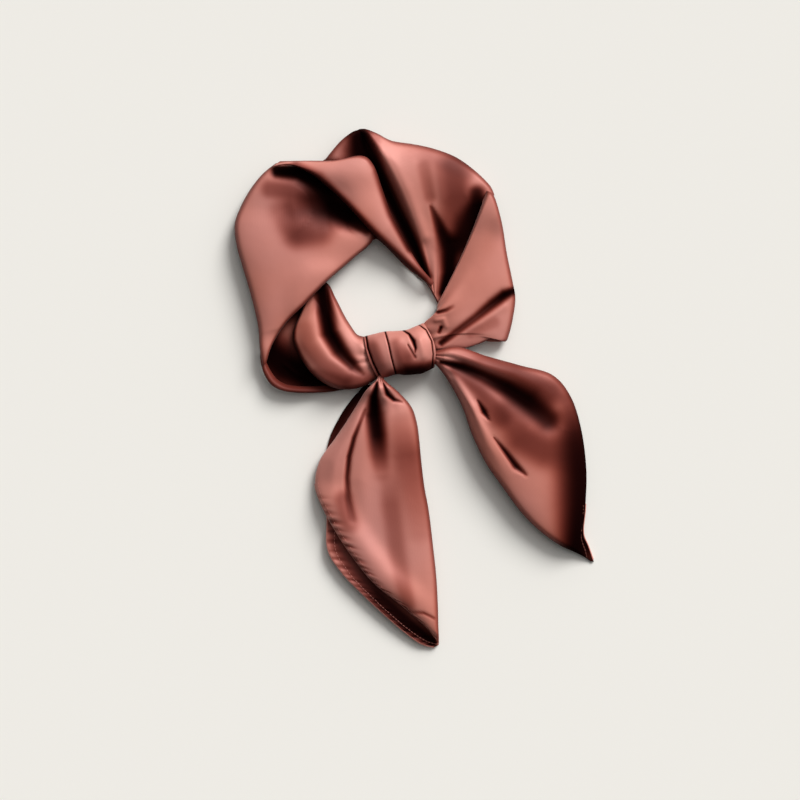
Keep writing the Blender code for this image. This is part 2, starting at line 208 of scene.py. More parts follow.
UNDER_LAYER = table(
    Section,
    (378, 376, 0, 372, 340, 0, 0),
    (350, 386, 0, 352, 334, 0, 0),
    (312, 390.5, 0, 340, 314, 0, 0),
    (276, 385, 0, 324, 294, 0, 0),
    (265, 364, 0, 320, 284, 0, 0),
    (264, 346, 0, 325, 277, 0, 0),
    (260, 300, 0, 341, 262, 0, 0),
    (246, 240, 0, 364, 246, 0, 0),
    (264, 182, 0, 376, 238, 0, 0),
    (306, 170, 0, 384, 244, 0, 0),
    (362, 140, 0, 392, 252, 0, 0),
    (434, 158, 0, 408, 268, 0, 0),
    (482, 196, 0, 424, 280, 0, 0),
    (498, 230, 0, 434, 296, 0, 0),
    (506, 290, 0, 438, 306, 0, 0),
    (500, 330, 0, 438, 318, 0, 0),
    (470, 340, 0, 438, 328, 0, 0),
)
# Painted shade: the under layer is painted nearly black where it shows in the cavity at the lower left
# and by the hole; a lifted streak gets less.
UNDER_LAYER_MARKS = strokes(
    [(266, 350, 20, 0, 1), (284, 366, 22, 0, 1), (312, 378, 18, 0, 1), (352, 382, 12, 0, 0.8)],
    [(284, 364, 1.5, 1.2, -0.2), (298, 374, 2.5, 2.0, -0.4), (314, 381, 1.5, 1.0, -0.2)],
    [(300, 300, 20, 0, 0.9), (328, 284, 20, 0, 0.8)],
)

TURNED_RIM = table(
    Section,
    (260.5, 352, 1.5, 264, 354, 0.5, 0.3),
    (261, 362, 4.0, 266, 362, 2.0, 2.0),
    (264.5, 374, 5.0, 270.5, 371, 2.5, 3.0),
    (271.5, 384.5, 6.0, 276.5, 379, 2.5, 3.5),
    (283, 390.5, 6.0, 286, 384.5, 2.5, 3.5),
    (298, 392.5, 6.0, 299, 386.5, 2.5, 3.0),
    (314, 392.5, 5.0, 314, 386.5, 2.0, 2.0),
    (330, 391.5, 4.0, 329, 385.5, 1.5, 1.0),
    (345, 389, 2.0, 343, 383, 0.5, 0.3),
)
# Painted shade, darker towards the rim's right end.
TURNED_RIM_MARKS = strokes(
    [
        (262, 360, 8, 0, 0.35), (270, 380, 8, 0, 0.42), (300, 390, 8, 0, 0.5), (320, 391, 8, 0, 0.55),
        (340, 390, 8, 0, 0.65),
    ],
)

INNER_FOLD = table(
    Section,
    (373, 340, 0.5, 384, 371, 0.5, 2),
    (365, 337, 1.0, 379, 377, 2.0, 5),
    (357, 334.5, 0.5, 359, 387.5, 5.5, 7.5),
    (350, 325, 0.3, 336, 388, 6.0, 8.0),
    (344, 315, 0.3, 315, 376, 5.0, 8.0),
    (339, 305, 0.3, 300, 356, 2, 7.5),
    (334, 295, 0.3, 293, 336, 1.0, 5.0),
    (329, 285, 0.3, 300, 315, 0.5, 1.5),
    (320, 278, 0.3, 310, 292, 0.3, 0.3),
    (313, 274, 0.3, 309, 281, 0.3, 0),
)
# Painted shade in the groove, along the rolled left edge and along the lower edge; the ridges get little.
INNER_FOLD_MARKS = strokes(
    [
        (321, 284, 8, -3, 1), (325, 312, 8, -7, 1), (329, 333, 8, -8, 1), (339, 350, 7.5, -7, 0.95),
        (353, 366, 5.5, -4, 0.75), (362, 374, 3, -1, 0.2),
    ],
    [
        (306, 328, 8, 0.5, 0.1), (308, 345, 8, 0.8, 0.15), (323, 363, 8, 0.8, 0.2),
        (346, 378, 7, 0.3, 0.25),
    ],
    [(337, 300, 3, 1.0, 0), (350, 324, 4, 2.0, 0), (364, 348, 6, 2.0, 0)],
    [(294, 322, 3, 0, 0.5), (291, 340, 4, 0, 0.5), (302, 364, 3, 0, 0.4)],
    [(316, 374, 6, 0, 0.2), (345, 384, 9, 0, 0.35), (374, 378, 8, 0, 0.3)],
)

LEFT_FOLD = table(
    Section,
    (263.5, 366, 4.5, 266, 362, 6, 0.5),
    (260.5, 351, 3.0, 272.5, 343, 6, 3),
    (258, 324, 3.0, 287, 321, 7, 5.5),
    (251, 294, 3.0, 305, 303, 7.5, 7),
    (244, 270, 3.0, 328, 279.5, 6.5, 8),
    (237, 245, 3.0, 352, 258.5, 4, 9),
    (235, 224, 2.5, 372.5, 239.5, 2, 9),
    (241, 206, 1.5, 370, 224, 0.3, 8.5),
    (251, 188, 1.0, 350, 200, 0.3, 8.5),
    (263, 173, 0.5, 330, 178, 0.3, 7),
    (276, 162.5, 1.0, 316, 163, 0.3, 4),
)
# Painted shadow: the black pocket under the cross fold's rolled edge, with painted shade around it.
LEFT_FOLD_MARKS = strokes(
    [
        (366, 228, 6, -1, 0.7), (350, 216, 13, -4, 1), (330, 206, 18, -6, 1), (312, 205, 15, -4, 0.75),
        (294, 208, 12, -1, 0.3),
    ],
    [(318, 230, 15, 0, 0.4), (298, 232, 15, 0, 0.5), (284, 210, 14, 0, 0.2)],
    [(326, 184, 12, -2, 1), (298, 172, 9, -3, 1), (277, 171, 6, -2, 0.9)],
    [(324, 192, 9, 0, 0.6), (300, 190, 10, 0, 0.45), (270, 188, 9, 0, 0.3)],
)

CROSS_FOLD = table(
    Section,
    (272, 166, 3, 280, 160.5, 0.5, 0.5),
    (290, 163.5, 7, 304, 160, 1.5, 1.5),
    (310, 172, 10.5, 334, 159.5, 6.5, 2),
    (328, 186, 12, 361, 155, 8.5, 2),
    (344, 201, 12, 373, 164, 8.5, 2.5),
    (358, 216, 11, 382, 188, 7, 3),
    (373, 232.5, 8, 391, 213, 6, 3.5),
    (393, 252, 5.5, 404, 239, 5.5, 3.5),
    (414, 271, 4, 418.5, 264, 4.5, 2),
    (431, 286, 3, 433.5, 282, 3.5, 1),
)
# Painted shade along the cross fold's edge over the mouth and along its rolled lower edge.
CROSS_FOLD_MARKS = strokes(
    [(376, 172, 4, 0, 0.15), (392, 214, 5, 0, 0.45), (410, 248, 4, 0, 0.6)],
    [
        (296, 165, 5, 0, 0.35), (318, 178, 7, 0, 0.45), (346, 204, 6, 0, 0.4), (372, 232, 6, 0, 0.5),
        (396, 254, 5, 0, 0.5), (424, 279, 4, 0, 0.4),
    ],
)

BACK_FOLD = table(
    Section,
    (419, 276, 0.3, 322, 163, 1, 0),
    (423, 279, 0.3, 339, 142, 5, 0),
    (427, 282, 0.5, 351, 132, 7, -2),
    (429, 285, 0.5, 358, 129, 3.5, -1.5, 5),
    (430.5, 287, 3, 361, 128, 4, 2, 7),
    (432, 289, 4, 367, 128.5, 8, 5, 8),
    (433, 291, 4, 378, 133, 4, 9, 8),
    (434, 293, 3.5, 392, 140, 3, 10, 7),
    (435, 295, 3.5, 414, 143.5, 1.5, 10, 5),
    (436, 297, 3, 434, 148, 1, 10, 2),
    (437, 299, 2.5, 455, 156, 1, 9),
    (438, 301, 2, 473, 168.5, 0.5, 6),
    (439, 303, 1.5, 489, 184, 1.5, 2.5),
    (440, 304.5, 1, 494, 194, 2, 0.5),
)
# Painted shade: the black mouth beside the cross fold, the dark valley by the right fold's edge, and soft
# shade over the top; the ridge gets a little less.
BACK_FOLD_MARKS = strokes(
    [
        (359, 136, 12, 0, 1), (361, 150, 16, 0, 1), (380, 176, 7, 0, 1), (396, 210, 7, 0, 1),
        (412, 242, 7, 0, 1), (428, 276, 4, 0, 0.9),
    ],
    [(384, 150, 7, 1.5, -0.1), (404, 190, 8, 2.0, 0), (424, 236, 6, 2.0, 0)],
    [
        (431, 206, 2, -0.5, 0.4), (441, 230, 6, -3, 0.9), (450, 250, 11, -5, 1), (449, 272, 8, -4, 1),
        (443, 292, 5, -2, 1),
    ],
    [(477, 193, 8, -1, 0.8), (477, 205, 11, -3, 1), (469, 224, 15, -3, 0.92), (459, 242, 12, -3, 0.9)],
    [(424, 166, 7, -0.4, 0.15), (430, 196, 6, -0.6, 0.2)],
    [(452, 168, 15, -0.4, 0.38), (456, 196, 15, -0.6, 0.46), (452, 218, 12, -0.5, 0.32)],
    [(440, 164, 6, 0.4, 0), (444, 196, 5, 0.5, 0)],
    [(466, 178, 5, 0.4, 0), (468, 204, 5, 0.4, 0)],
    [(400, 150, 8, 0, 0), (430, 154, 8, 0, 0.15), (466, 170, 9, 0, 0.2)],
)

RIGHT_FOLD = table(
    Section,
    (438, 303.5, 3.5, 487, 190, 0.3, 3, 2.5),
    (437.5, 307, 4.5, 494, 196, 0.3, 3.5, 1),
    (436.5, 311, 5.5, 501.5, 222, 0.3, 4.5),
    (431, 317, 6.5, 506.5, 253, 0.5, 6),
    (425, 322, 7.5, 512, 280, 1, 6),
    (424, 327, 8, 515, 298, 1.5, 5.5),
    (426, 332, 8, 512.5, 318, 2, 5),
    (428, 337, 7.5, 509, 333, 2, 5, -3),
    (429, 341, 7, 505, 341, 2, 4.5, -7),
    (430, 344, 6.5, 494.7, 336.5, 2, 4.5, -2),
    (431, 347, 6, 481, 342.6, 1.5, 4),
    (432, 350, 5, 465, 347.8, 1, 3),
    (433, 352.5, 1.5, 450, 350, 0.3, 0.5),
)
# Painted shade in the groove, the gathers' creases and under the curl; the curl's top gets a little less.
RIGHT_FOLD_MARKS = strokes(
    [
        (514, 290, 4, -3, 0.95), (504, 295, 5, -5, 0.95), (492, 304, 5, -5, 0.8),
        (475, 318, 4, -3.5, 0.6), (456, 332, 3.5, -3, 0.6), (441, 343, 3, -2, 0.8),
    ],
    [(438, 312, 1.8, -1.5, 0.8), (446, 310, 2.0, -1.0, 0.5), (455, 305, 2.0, 0, 0)],
    [(441, 327, 1.8, -1.5, 0.95), (439, 332, 1.8, -1.0, 0.6)],
    [(436, 320, 2.5, 1.2, -0.1), (443, 319, 2.5, 1.2, -0.1), (446, 326, 2, 0.6, 0)],
    [(446, 338, 3, 0.8, 0), (480, 322, 5, 1.0, 0), (504, 306, 4, 0.6, 0)],
    [(470, 334, 4, 0, 0.12), (494, 322, 6, 0, 0.12)],
)

KNOT_RINGS = table(
    Ring,
    (364.5, 336.5, 378, 377.5, 19, -3),
    (374, 334, 386, 377, 23, -1.5),
    (385, 331.5, 396, 374, 25, 0),
    (396, 331, 405, 374.5, 25.5, 1),
    (406, 330, 414, 374, 25.5, 2.5),
    (415, 326.5, 423, 372.5, 24.5, 3.5),
    (423.5, 323, 434, 367, 21.5, 5.5),
)
# Painted shade in the lines between the wraps and along the knot's lower side.
KNOT_MARKS = strokes(
    [
        (366, 335, 1.2, -2.0, 1), (368, 348, 1.2, -2.0, 1), (373, 362, 1.2, -2.0, 1),
        (381, 378, 1.2, -2.0, 1),
    ],
    [
        (384.5, 329, 0.9, -2.2, 1), (388.5, 344, 0.9, -2.4, 1), (391.5, 358, 0.9, -2.4, 1),
        (396.5, 376, 1.0, -2.4, 1),
    ],
    [
        (401, 329, 0.7, -1.2, 0.8), (409, 334, 1.2, -2.0, 1), (413.5, 341, 2.0, -2.6, 1),
        (415.5, 348, 1.4, -2.0, 1), (415, 352, 0.8, -0.8, 0.5),
    ],
    [(408, 345, 1.0, -0.8, 0.4), (415, 357, 1.6, -0.8, 0.35)],
    [
        (418, 324, 0.7, -1.2, 0.7), (426, 330, 0.7, -1.6, 0.95), (431.5, 341, 0.7, -1.6, 1),
        (433, 354, 0.7, -1.6, 1), (431.5, 370, 0.8, -1.6, 1),
    ],
    [(377, 344, 6, 0.8, 0), (383, 362, 6, 0.8, 0)],
    [(398, 342, 5, 0.8, 0), (402, 362, 5, 0.8, 0)],
    [(420, 340, 4, 1.2, 0), (424, 356, 4, 0.8, 0)],
    [(392, 376, 6, 0, 0.5), (408, 373, 9, 0, 0.9), (424, 371, 9, 0, 0.9), (436, 364, 5, 0, 0.6)],
    [(372, 348, 8, 0, 0.2), (382, 372, 8, 0, 0.2)],
    [(396, 344, 6, 0, 0.15), (404, 358, 9, 0, 0.35)],
)

LEFT_TAIL = table(
    Section,
    (379, 375, 1, 383, 375, 1, 0.3),
    (376, 381, 3.5, 385, 381, 3.0, 1.5),
    (366, 391, 4.5, 399, 393, 3.5, 5),
    (356, 407, 4, 411, 407, 3, 8.5),
    (346, 423, 3.5, 416.5, 423, 1.5, 10),
    (334.5, 440, 3, 419, 441, 1, 10),
    (320, 461, 3, 421, 462, 0.5, 9),
    (315.5, 484, 3, 424, 487, 0.5, 8),
    (322, 505, 3, 428.5, 512, 0.5, 7),
    (334, 528, 3, 432.5, 545, 0.5, 6),
    (350, 553, 3, 436, 578, 0.5, 5),
    (373, 582, 2.5, 437.5, 606, 0.3, 4),
    (401, 605, 1.2, 438, 626, 0.3, 2.5),
    (426, 627, 0.8, 438.5, 639, 0.3, 1),
    (435, 638, 0.3, 438.5, 645, 0.3, 0.3),
)
# Painted shade in the valley, the creases, the notch at the neck and soft bands down the tail.
LEFT_TAIL_MARKS = strokes(
    [
        (377, 383, 1.5, -2, 0.9), (374, 398, 5, -5, 1), (374, 416, 8.5, -7, 1), (377, 436, 9, -4, 0.95),
        (379, 454, 9, -1.5, 0.55), (382, 474, 8, 0, 0.1),
    ],
    [
        (365, 410, 1.5, -1.0, 0.2), (354, 438, 2.2, -2.2, 0.75), (349, 457, 2.4, -2.4, 0.8),
        (347, 478, 2.4, -2.0, 0.65), (348, 500, 3.0, -1.5, 0.4), (352, 520, 4.0, -1.0, 0.15),
    ],
    [
        (383.5, 384, 1.0, -1.5, 0.8), (387.5, 394, 2.4, -2.5, 1), (394, 400, 2.0, -2.0, 0.8),
        (402, 402, 1.2, -0.5, 0.2),
    ],
    [(379, 384, 2.2, 1.5, 0), (381, 396, 2.5, 1.5, 0), (392, 410, 8, 0, 0)],
    [(370, 390, 3, 1.0, 0), (350, 426, 6, 2.2, 0), (333, 462, 8, 2.2, 0), (328, 500, 8, 0, 0)],
    [(366, 450, 9, 0, 0), (362, 480, 8, 1.2, 0), (366, 540, 8, 0, 0)],
    [(398, 430, 7, 0, 0), (404, 480, 8, 0.6, 0), (414, 550, 8, 0, 0)],
    [(398, 412, 9, 0, 0), (407, 455, 15, 0, 0.34), (420, 530, 13, 0, 0.08)],
    [(388, 462, 9, 0, 0), (391, 505, 10, 0, 0.22), (398, 560, 9, 0, 0.15), (408, 606, 7, 0, 0.2)],
    [(414, 613, 1.4, -0.5, 0.2), (424, 614, 1.4, -0.6, 0.4), (434, 619, 1.4, -0.5, 0.3)],
    [(350, 524, 9, 0, 0.2), (344, 500, 9, 0, 0.3)],
)

UNDER_LEAF = table(
    Section,
    (366, 384, 0.2, 392, 390, 0.2, 0),
    (350, 402, 0.2, 400, 404, 0.2, 0),
    (338.5, 420, 0.2, 404, 421, 0.2, 0),
    (329.5, 440, 0.2, 407, 440, 0.2, 0),
    (325, 468, 1.5, 410, 468, 0.2, 0),
    (327.5, 516, 4.5, 418, 516, 0.2, 0),
    (328, 549, 6.0, 424, 552, 0.2, 0.3),
    (340.5, 571, 6.5, 428, 584, 0.2, 0.5),
    (360, 592, 6.5, 430, 606, 0.2, 0.5),
    (391, 621, 5.5, 433, 628, 0.2, 0.3),
    (418, 642.5, 3.5, 437, 640, 0.2, 0),
    (434, 648, 1.2, 438.5, 646, 0.2, 0),
)
# Painted shade on the leaf, darker towards its tip and where it shows beside the tail's neck.
UNDER_LEAF_MARKS = strokes(
    [
        (332, 520, 7, 0, 0.3), (337, 545, 7, 0.3, 0.4), (356, 572, 9, 0.3, 0.5), (380, 600, 9, 0.3, 0.85),
        (408, 626, 9, 0.3, 0.95), (432, 643, 7, 0, 0.95),
    ],
    [(364, 388, 7, 0, 0.9), (350, 404, 8, 0, 0.9), (338, 424, 8, 0, 0.85), (330, 442, 6, 0, 0.7)],
)

RIGHT_TAIL = table(
    Section,
    (429, 361, 6, 429, 353, 7, 0.5),
    (437.5, 366, 6, 437.5, 350.5, 8, 1.5),
    (450, 383, 3, 458, 347, 6, 5),
    (463, 408, 2.5, 486, 356, 5, 8),
    (472, 434, 2.5, 520, 365.5, 4, 10),
    (486, 463, 2.5, 552, 375, 3, 11),
    (502, 486, 2.5, 570.5, 397, 2, 10.5),
    (521, 512, 2.5, 581, 430, 1.5, 9),
    (541, 532, 2, 586, 470, 1.5, 7),
    (560, 545.5, 1.5, 585, 508, 1, 5),
    (574, 552, 0.3, 583, 533, 0.5, 2.5),
    (584, 557, 0.3, 588, 547, 0.8, 0.8),
    (591, 562, 0.2, 593.5, 562.5, 0.2, 0.2),
)
# Painted shade: a painted dark reflection over the tail's outer right side, and shade in the valley, the
# creases and under the rolled top edge.
RIGHT_TAIL_MARKS = strokes(
    [
        (441, 362, 2, -2, 0.8), (462, 367, 5, -4, 0.9), (484, 377, 7, -5, 0.85), (506, 388, 10, -6, 1),
        (528, 402, 13, -6, 1), (548, 420, 12, -4, 0.8),
    ],
    [(450, 352, 4, 1.0, 0), (480, 361, 5, 2.0, 0.3), (515, 372, 7, 1.5, 0.46), (550, 392, 14, 0, 0.48)],
    [(478, 401, 1.2, -1.0, 0.5), (484, 412, 2.6, -3.0, 1), (489, 420, 1.0, -1.0, 0.6)],
    [
        (494, 438, 1.0, -0.8, 0.4), (505, 452, 2.2, -2.2, 0.8), (516, 467, 3.2, -2.6, 0.85),
        (526, 475, 1.5, -1.0, 0.4),
    ],
    [(456, 380, 4, 1.5, 0), (472, 408, 5, 2.8, 0), (488, 446, 6, 2.2, 0), (510, 482, 7, 0, 0)],
    [
        (572, 402, 13, 0, 0.4), (580, 432, 21, 0, 0.8), (584, 470, 26, 0, 0.93), (584, 505, 25, 0, 0.95),
        (580, 545, 20, 0, 1),
    ],
    [(508, 412, 14, 0, 0.3), (522, 438, 17, 0, 0.45), (545, 450, 18, 0, 0.42), (572, 452, 18, 0, 0.3)],
    [(455, 368, 5, 0, 0.4), (480, 390, 8, 0, 0.4), (500, 416, 12, 0, 0.34)],
)


@dataclass(frozen=True)
class Plan:
    """A drawing in squares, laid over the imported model's box, and seen by the camera above it.

    low and high are the box's corners. Its middle lies at square middle_x, middle_y, and it is
    squares_x by squares_y squares large. The camera stands over square seen_from both ways, and its
    picture is seen_squares wide.
    """

    low: Vector
    high: Vector
    middle_x: float = 414.0
    middle_y: float = 388.0
    squares_x: float = 358.0
    squares_y: float = 520.0
    seen_from: float = 400.0
    seen_squares: float = 800.0
    lens: float = 85.0
    sensor: float = 36.0

    @property
    def square(self) -> float:
        """One square's width in metres."""
        return (self.high.x - self.low.x) / self.squares_x

    @property
    def square_deep(self) -> float:
        """One square's depth in metres."""
        return (self.high.y - self.low.y) / self.squares_y

    @property
    def eye(self) -> Vector:
        """The camera's place, straight above the drawing's own middle."""
        x, y = self.place(np.array(self.seen_from), np.array(self.seen_from))
        return Vector((float(x), float(y), self.seen_squares * self.square * self.lens / self.sensor))

    def place(self, x: np.ndarray, y: np.ndarray) -> tuple[np.ndarray, np.ndarray]:
        """Turns squares into metres.

        Args:
            x: squares to the right of the drawing's left edge.
            y: squares down from its top edge.

        Returns:
            The places in metres.
        """
        middle = (self.low + self.high) / 2
        return (
            middle.x + (x - self.middle_x) * self.square,
            middle.y - (y - self.middle_y) * self.square_deep,
        )

    def under_the_eye(self, points: np.ndarray) -> np.ndarray:
        """Draws points in towards the camera's axis, so that they are seen at their own squares.

        Args:
            points: places in metres, the last axis being x, y and z.

        Returns:
            The moved places.
        """
        eye = self.eye
        nearer = 1 - points[..., 2:] / eye.z
        axis = np.array((eye.x, eye.y))
        return np.concatenate([axis + (points[..., :2] - axis) * nearer, points[..., 2:]], axis=-1)


def smooth_rows(rows: Sequence[tuple], places: np.ndarray) -> np.ndarray:
    """Reads a table on a Catmull-Rom curve through its rows.

    Args:
        rows: the table.
        places: where to read it, from 0 at its first row to 1 at its last.

    Returns:
        One read row for each place.
    """
    table = np.array(rows, dtype=float)
    last = len(table) - 1
    index = np.minimum((places * last).astype(int), last - 1)
    t = (places * last - index)[:, None]
    before, first = table[np.maximum(index - 1, 0)], table[index]
    second, after = table[index + 1], table[np.minimum(index + 2, last)]
    return (
        first * (2 * t**3 - 3 * t**2 + 1)
        + (second - before) / 2 * (t**3 - 2 * t**2 + t)
        + second * (3 * t**2 - 2 * t**3)
        + (after - first) / 2 * (t**3 - t**2)
    )


def read_marks(
    marks: Sequence[Sequence[Mark]], x: np.ndarray, y: np.ndarray
) -> tuple[np.ndarray, np.ndarray]:
    """Adds up the ridges and grooves of a layer, and the shade painted along them.

    Args:
        marks: each ridge or groove, as the places that it runs through.
        x: squares to the right.
        y: squares down.

    Returns:
        The lift in millimetres and the painted shade, at each place.
    """
    lift, depth = np.zeros_like(x), np.zeros_like(x)
    for line in marks:
        nearest = np.full_like(x, np.inf)
        line_lift, line_shade = np.zeros_like(x), np.zeros_like(x)
        for first, second in zip(line, line[1:]):
            run_x, run_y = second.x - first.x, second.y - first.y
            share = ((x - first.x) * run_x + (y - first.y) * run_y) / (run_x**2 + run_y**2)
            share = np.clip(share, 0, 1)
            width = first.half_width + share * (second.half_width - first.half_width)
            distance = np.hypot(x - first.x - share * run_x, y - first.y - share * run_y) / width
            closer = distance < nearest
            lifted = np.exp(-(distance**2)) * (first.lift + share * (second.lift - first.lift))
            # Painted shade along the mark; a negative value takes painted shade away.
            deepened = np.exp(-(distance**3)) * (first.depth + share * (second.depth - first.depth))
            line_lift = np.where(closer, lifted, line_lift)
            line_shade = np.where(closer, deepened, line_shade)
            nearest = np.minimum(nearest, distance)
        lift += line_lift
        depth = 1 - (1 - depth) * (1 - line_shade)
    return lift, depth


class Relief:
    """The top surface of the scarf so far, as heights over a fine square grid."""

    CELL = 0.0006
    MARGIN = 0.02
    REACH = 19
    SOFT = 19
    ROW_FILL = 6
    COLUMN_FILL = 3
    INSIDE = 1.001

    def __init__(self, plan: Plan) -> None:
        """Starts with the bare floor.

        Args:
            plan: the drawing, whose box the grid covers.
        """
        self.low = np.array((plan.low.x - self.MARGIN, plan.low.y - self.MARGIN))
        span = np.array((plan.high.x + self.MARGIN, plan.high.y + self.MARGIN)) - self.low
        self.shape = tuple(np.ceil(span / self.CELL).astype(int))
        self.heights = np.full(self.shape, CLOTH_WALL / 2 - LAYER_CLEARANCE)

    def cells(self, points: np.ndarray) -> np.ndarray:
        """Finds the cell, with its fraction, that each point is over."""
        cells = (points[..., :2] - self.low) / self.CELL
        return np.clip(cells, 0, np.array(self.shape) - self.INSIDE)

    def sample(self, field_values: np.ndarray, points: np.ndarray) -> np.ndarray:
        """Reads a grid of values under each point.

        Args:
            field_values: one value for each cell.
            points: places in metres.

        Returns:
            The value at each point, straight between the cells.
        """
        cells = self.cells(points)
        index = cells.astype(int)
        i, j = index[..., 0], index[..., 1]
        u, v = cells[..., 0] - i, cells[..., 1] - j
        near = field_values[i, j] * (1 - u) + field_values[i + 1, j] * u
        far = field_values[i, j + 1] * (1 - u) + field_values[i + 1, j + 1] * u
        return near * (1 - v) + far * v

    def print_of(self, grid: np.ndarray, keep: np.ufunc, blank: float) -> np.ndarray:
        """Prints a layer on the grid.

        Args:
            grid: the layer's points, by row and column.
            keep: np.maximum for its top or np.minimum for its underside.
            blank: the value where the layer isn't.

        Returns:
            The height of the layer in each cell.
        """
        dense = thicken(thicken(grid, 0, self.ROW_FILL), 1, self.COLUMN_FILL)
        index = self.cells(dense).astype(int)
        heights = np.full(self.shape, blank)
        keep.at(heights, (index[..., 0], index[..., 1]), dense[..., 2])
        return heights

    def settle(self, grid: np.ndarray) -> np.ndarray:
        """Lifts a layer clear of what it lies on, and adds it to the surface.

        Args:
            grid: the layer's points, by row and column.

        Returns:
            The lifted points.
        """
        underside = self.print_of(grid, np.minimum, np.inf)
        missing = widened(self.heights, 1) + LAYER_CLEARANCE - underside
        missing = np.where(np.isfinite(underside), np.maximum(missing, 0), 0)
        lift = softened(widened(missing, self.REACH), self.SOFT)
        settled = grid.copy()
        settled[..., 2] += self.sample(lift, grid)
        self.heights = np.maximum(self.heights, self.print_of(settled, np.maximum, -np.inf))
        return settled


def thicken(grid: np.ndarray, axis: int, factor: int) -> np.ndarray:
    """Adds points straight between the rows or columns of a grid.

    Args:
        grid: the points.
        axis: 0 for rows, 1 for columns.
        factor: how many steps one step becomes.

    Returns:
        The finer grid.
    """
    count = grid.shape[axis]
    places = np.linspace(0, count - 1, (count - 1) * factor + 1)
    index = np.minimum(places.astype(int), count - 2)
    shape = [1, 1, 1]
    shape[axis] = -1
    share = (places - index).reshape(shape)
    return np.take(grid, index, axis) * (1 - share) + np.take(grid, index + 1, axis) * share


def widened(values: np.ndarray, cells: int) -> np.ndarray:
    """Spreads the highest values of a grid outwards.

    Args:
        values: one value for each cell.
        cells: how many cells to spread them by.

    Returns:
        The highest value near each cell.
    """
    for axis in (0, 1):
        spread = values
        for step in range(1, cells + 1):
            for way in (step, -step):
                spread = np.maximum(spread, np.roll(values, way, axis))
        values = spread
    return values


def softened(values: np.ndarray, cells: int) -> np.ndarray:
    """Blurs a grid.

    Args:
        values: one value for each cell.
        cells: how many cells each way a value reaches.

    Returns:
        The blurred values.
    """
    steps = np.arange(-cells, cells + 1)
    weights = np.cos(math.pi * steps / (2 * cells + 2)) ** 2
    weights /= weights.sum()
    for axis in (0, 1):
        values = sum(weight * np.roll(values, step, axis) for weight, step in zip(weights, steps))
    return values


def round_rise(inwards: np.ndarray, radius: np.ndarray) -> np.ndarray:
    """Rises over a folded edge as a quarter circle does.

    Args:
        inwards: how far in from the edge.
        radius: the edge's radius, which may be 0.

    Returns:
        The height above the edge's middle.
    """
    share = np.clip(inwards / np.maximum(radius, TINY), 0, 1)
    return radius * np.sqrt(1 - (1 - share) ** 2)


def steps_of(points: np.ndarray, axis: int) -> np.ndarray:
    """Measures how far along its row or column each point of a grid is.

    Args:
        points: the grid.
        axis: 1 to measure along the rows, 0 along the columns.

    Returns:
        The distance from the first point, for each point.
    """
    lengths = np.linalg.norm(np.diff(points, axis=axis), axis=-1)
    start = np.zeros_like(np.take(points[..., 0], [0], axis))
    return np.concatenate([start, np.cumsum(lengths, axis=axis)], axis=axis)


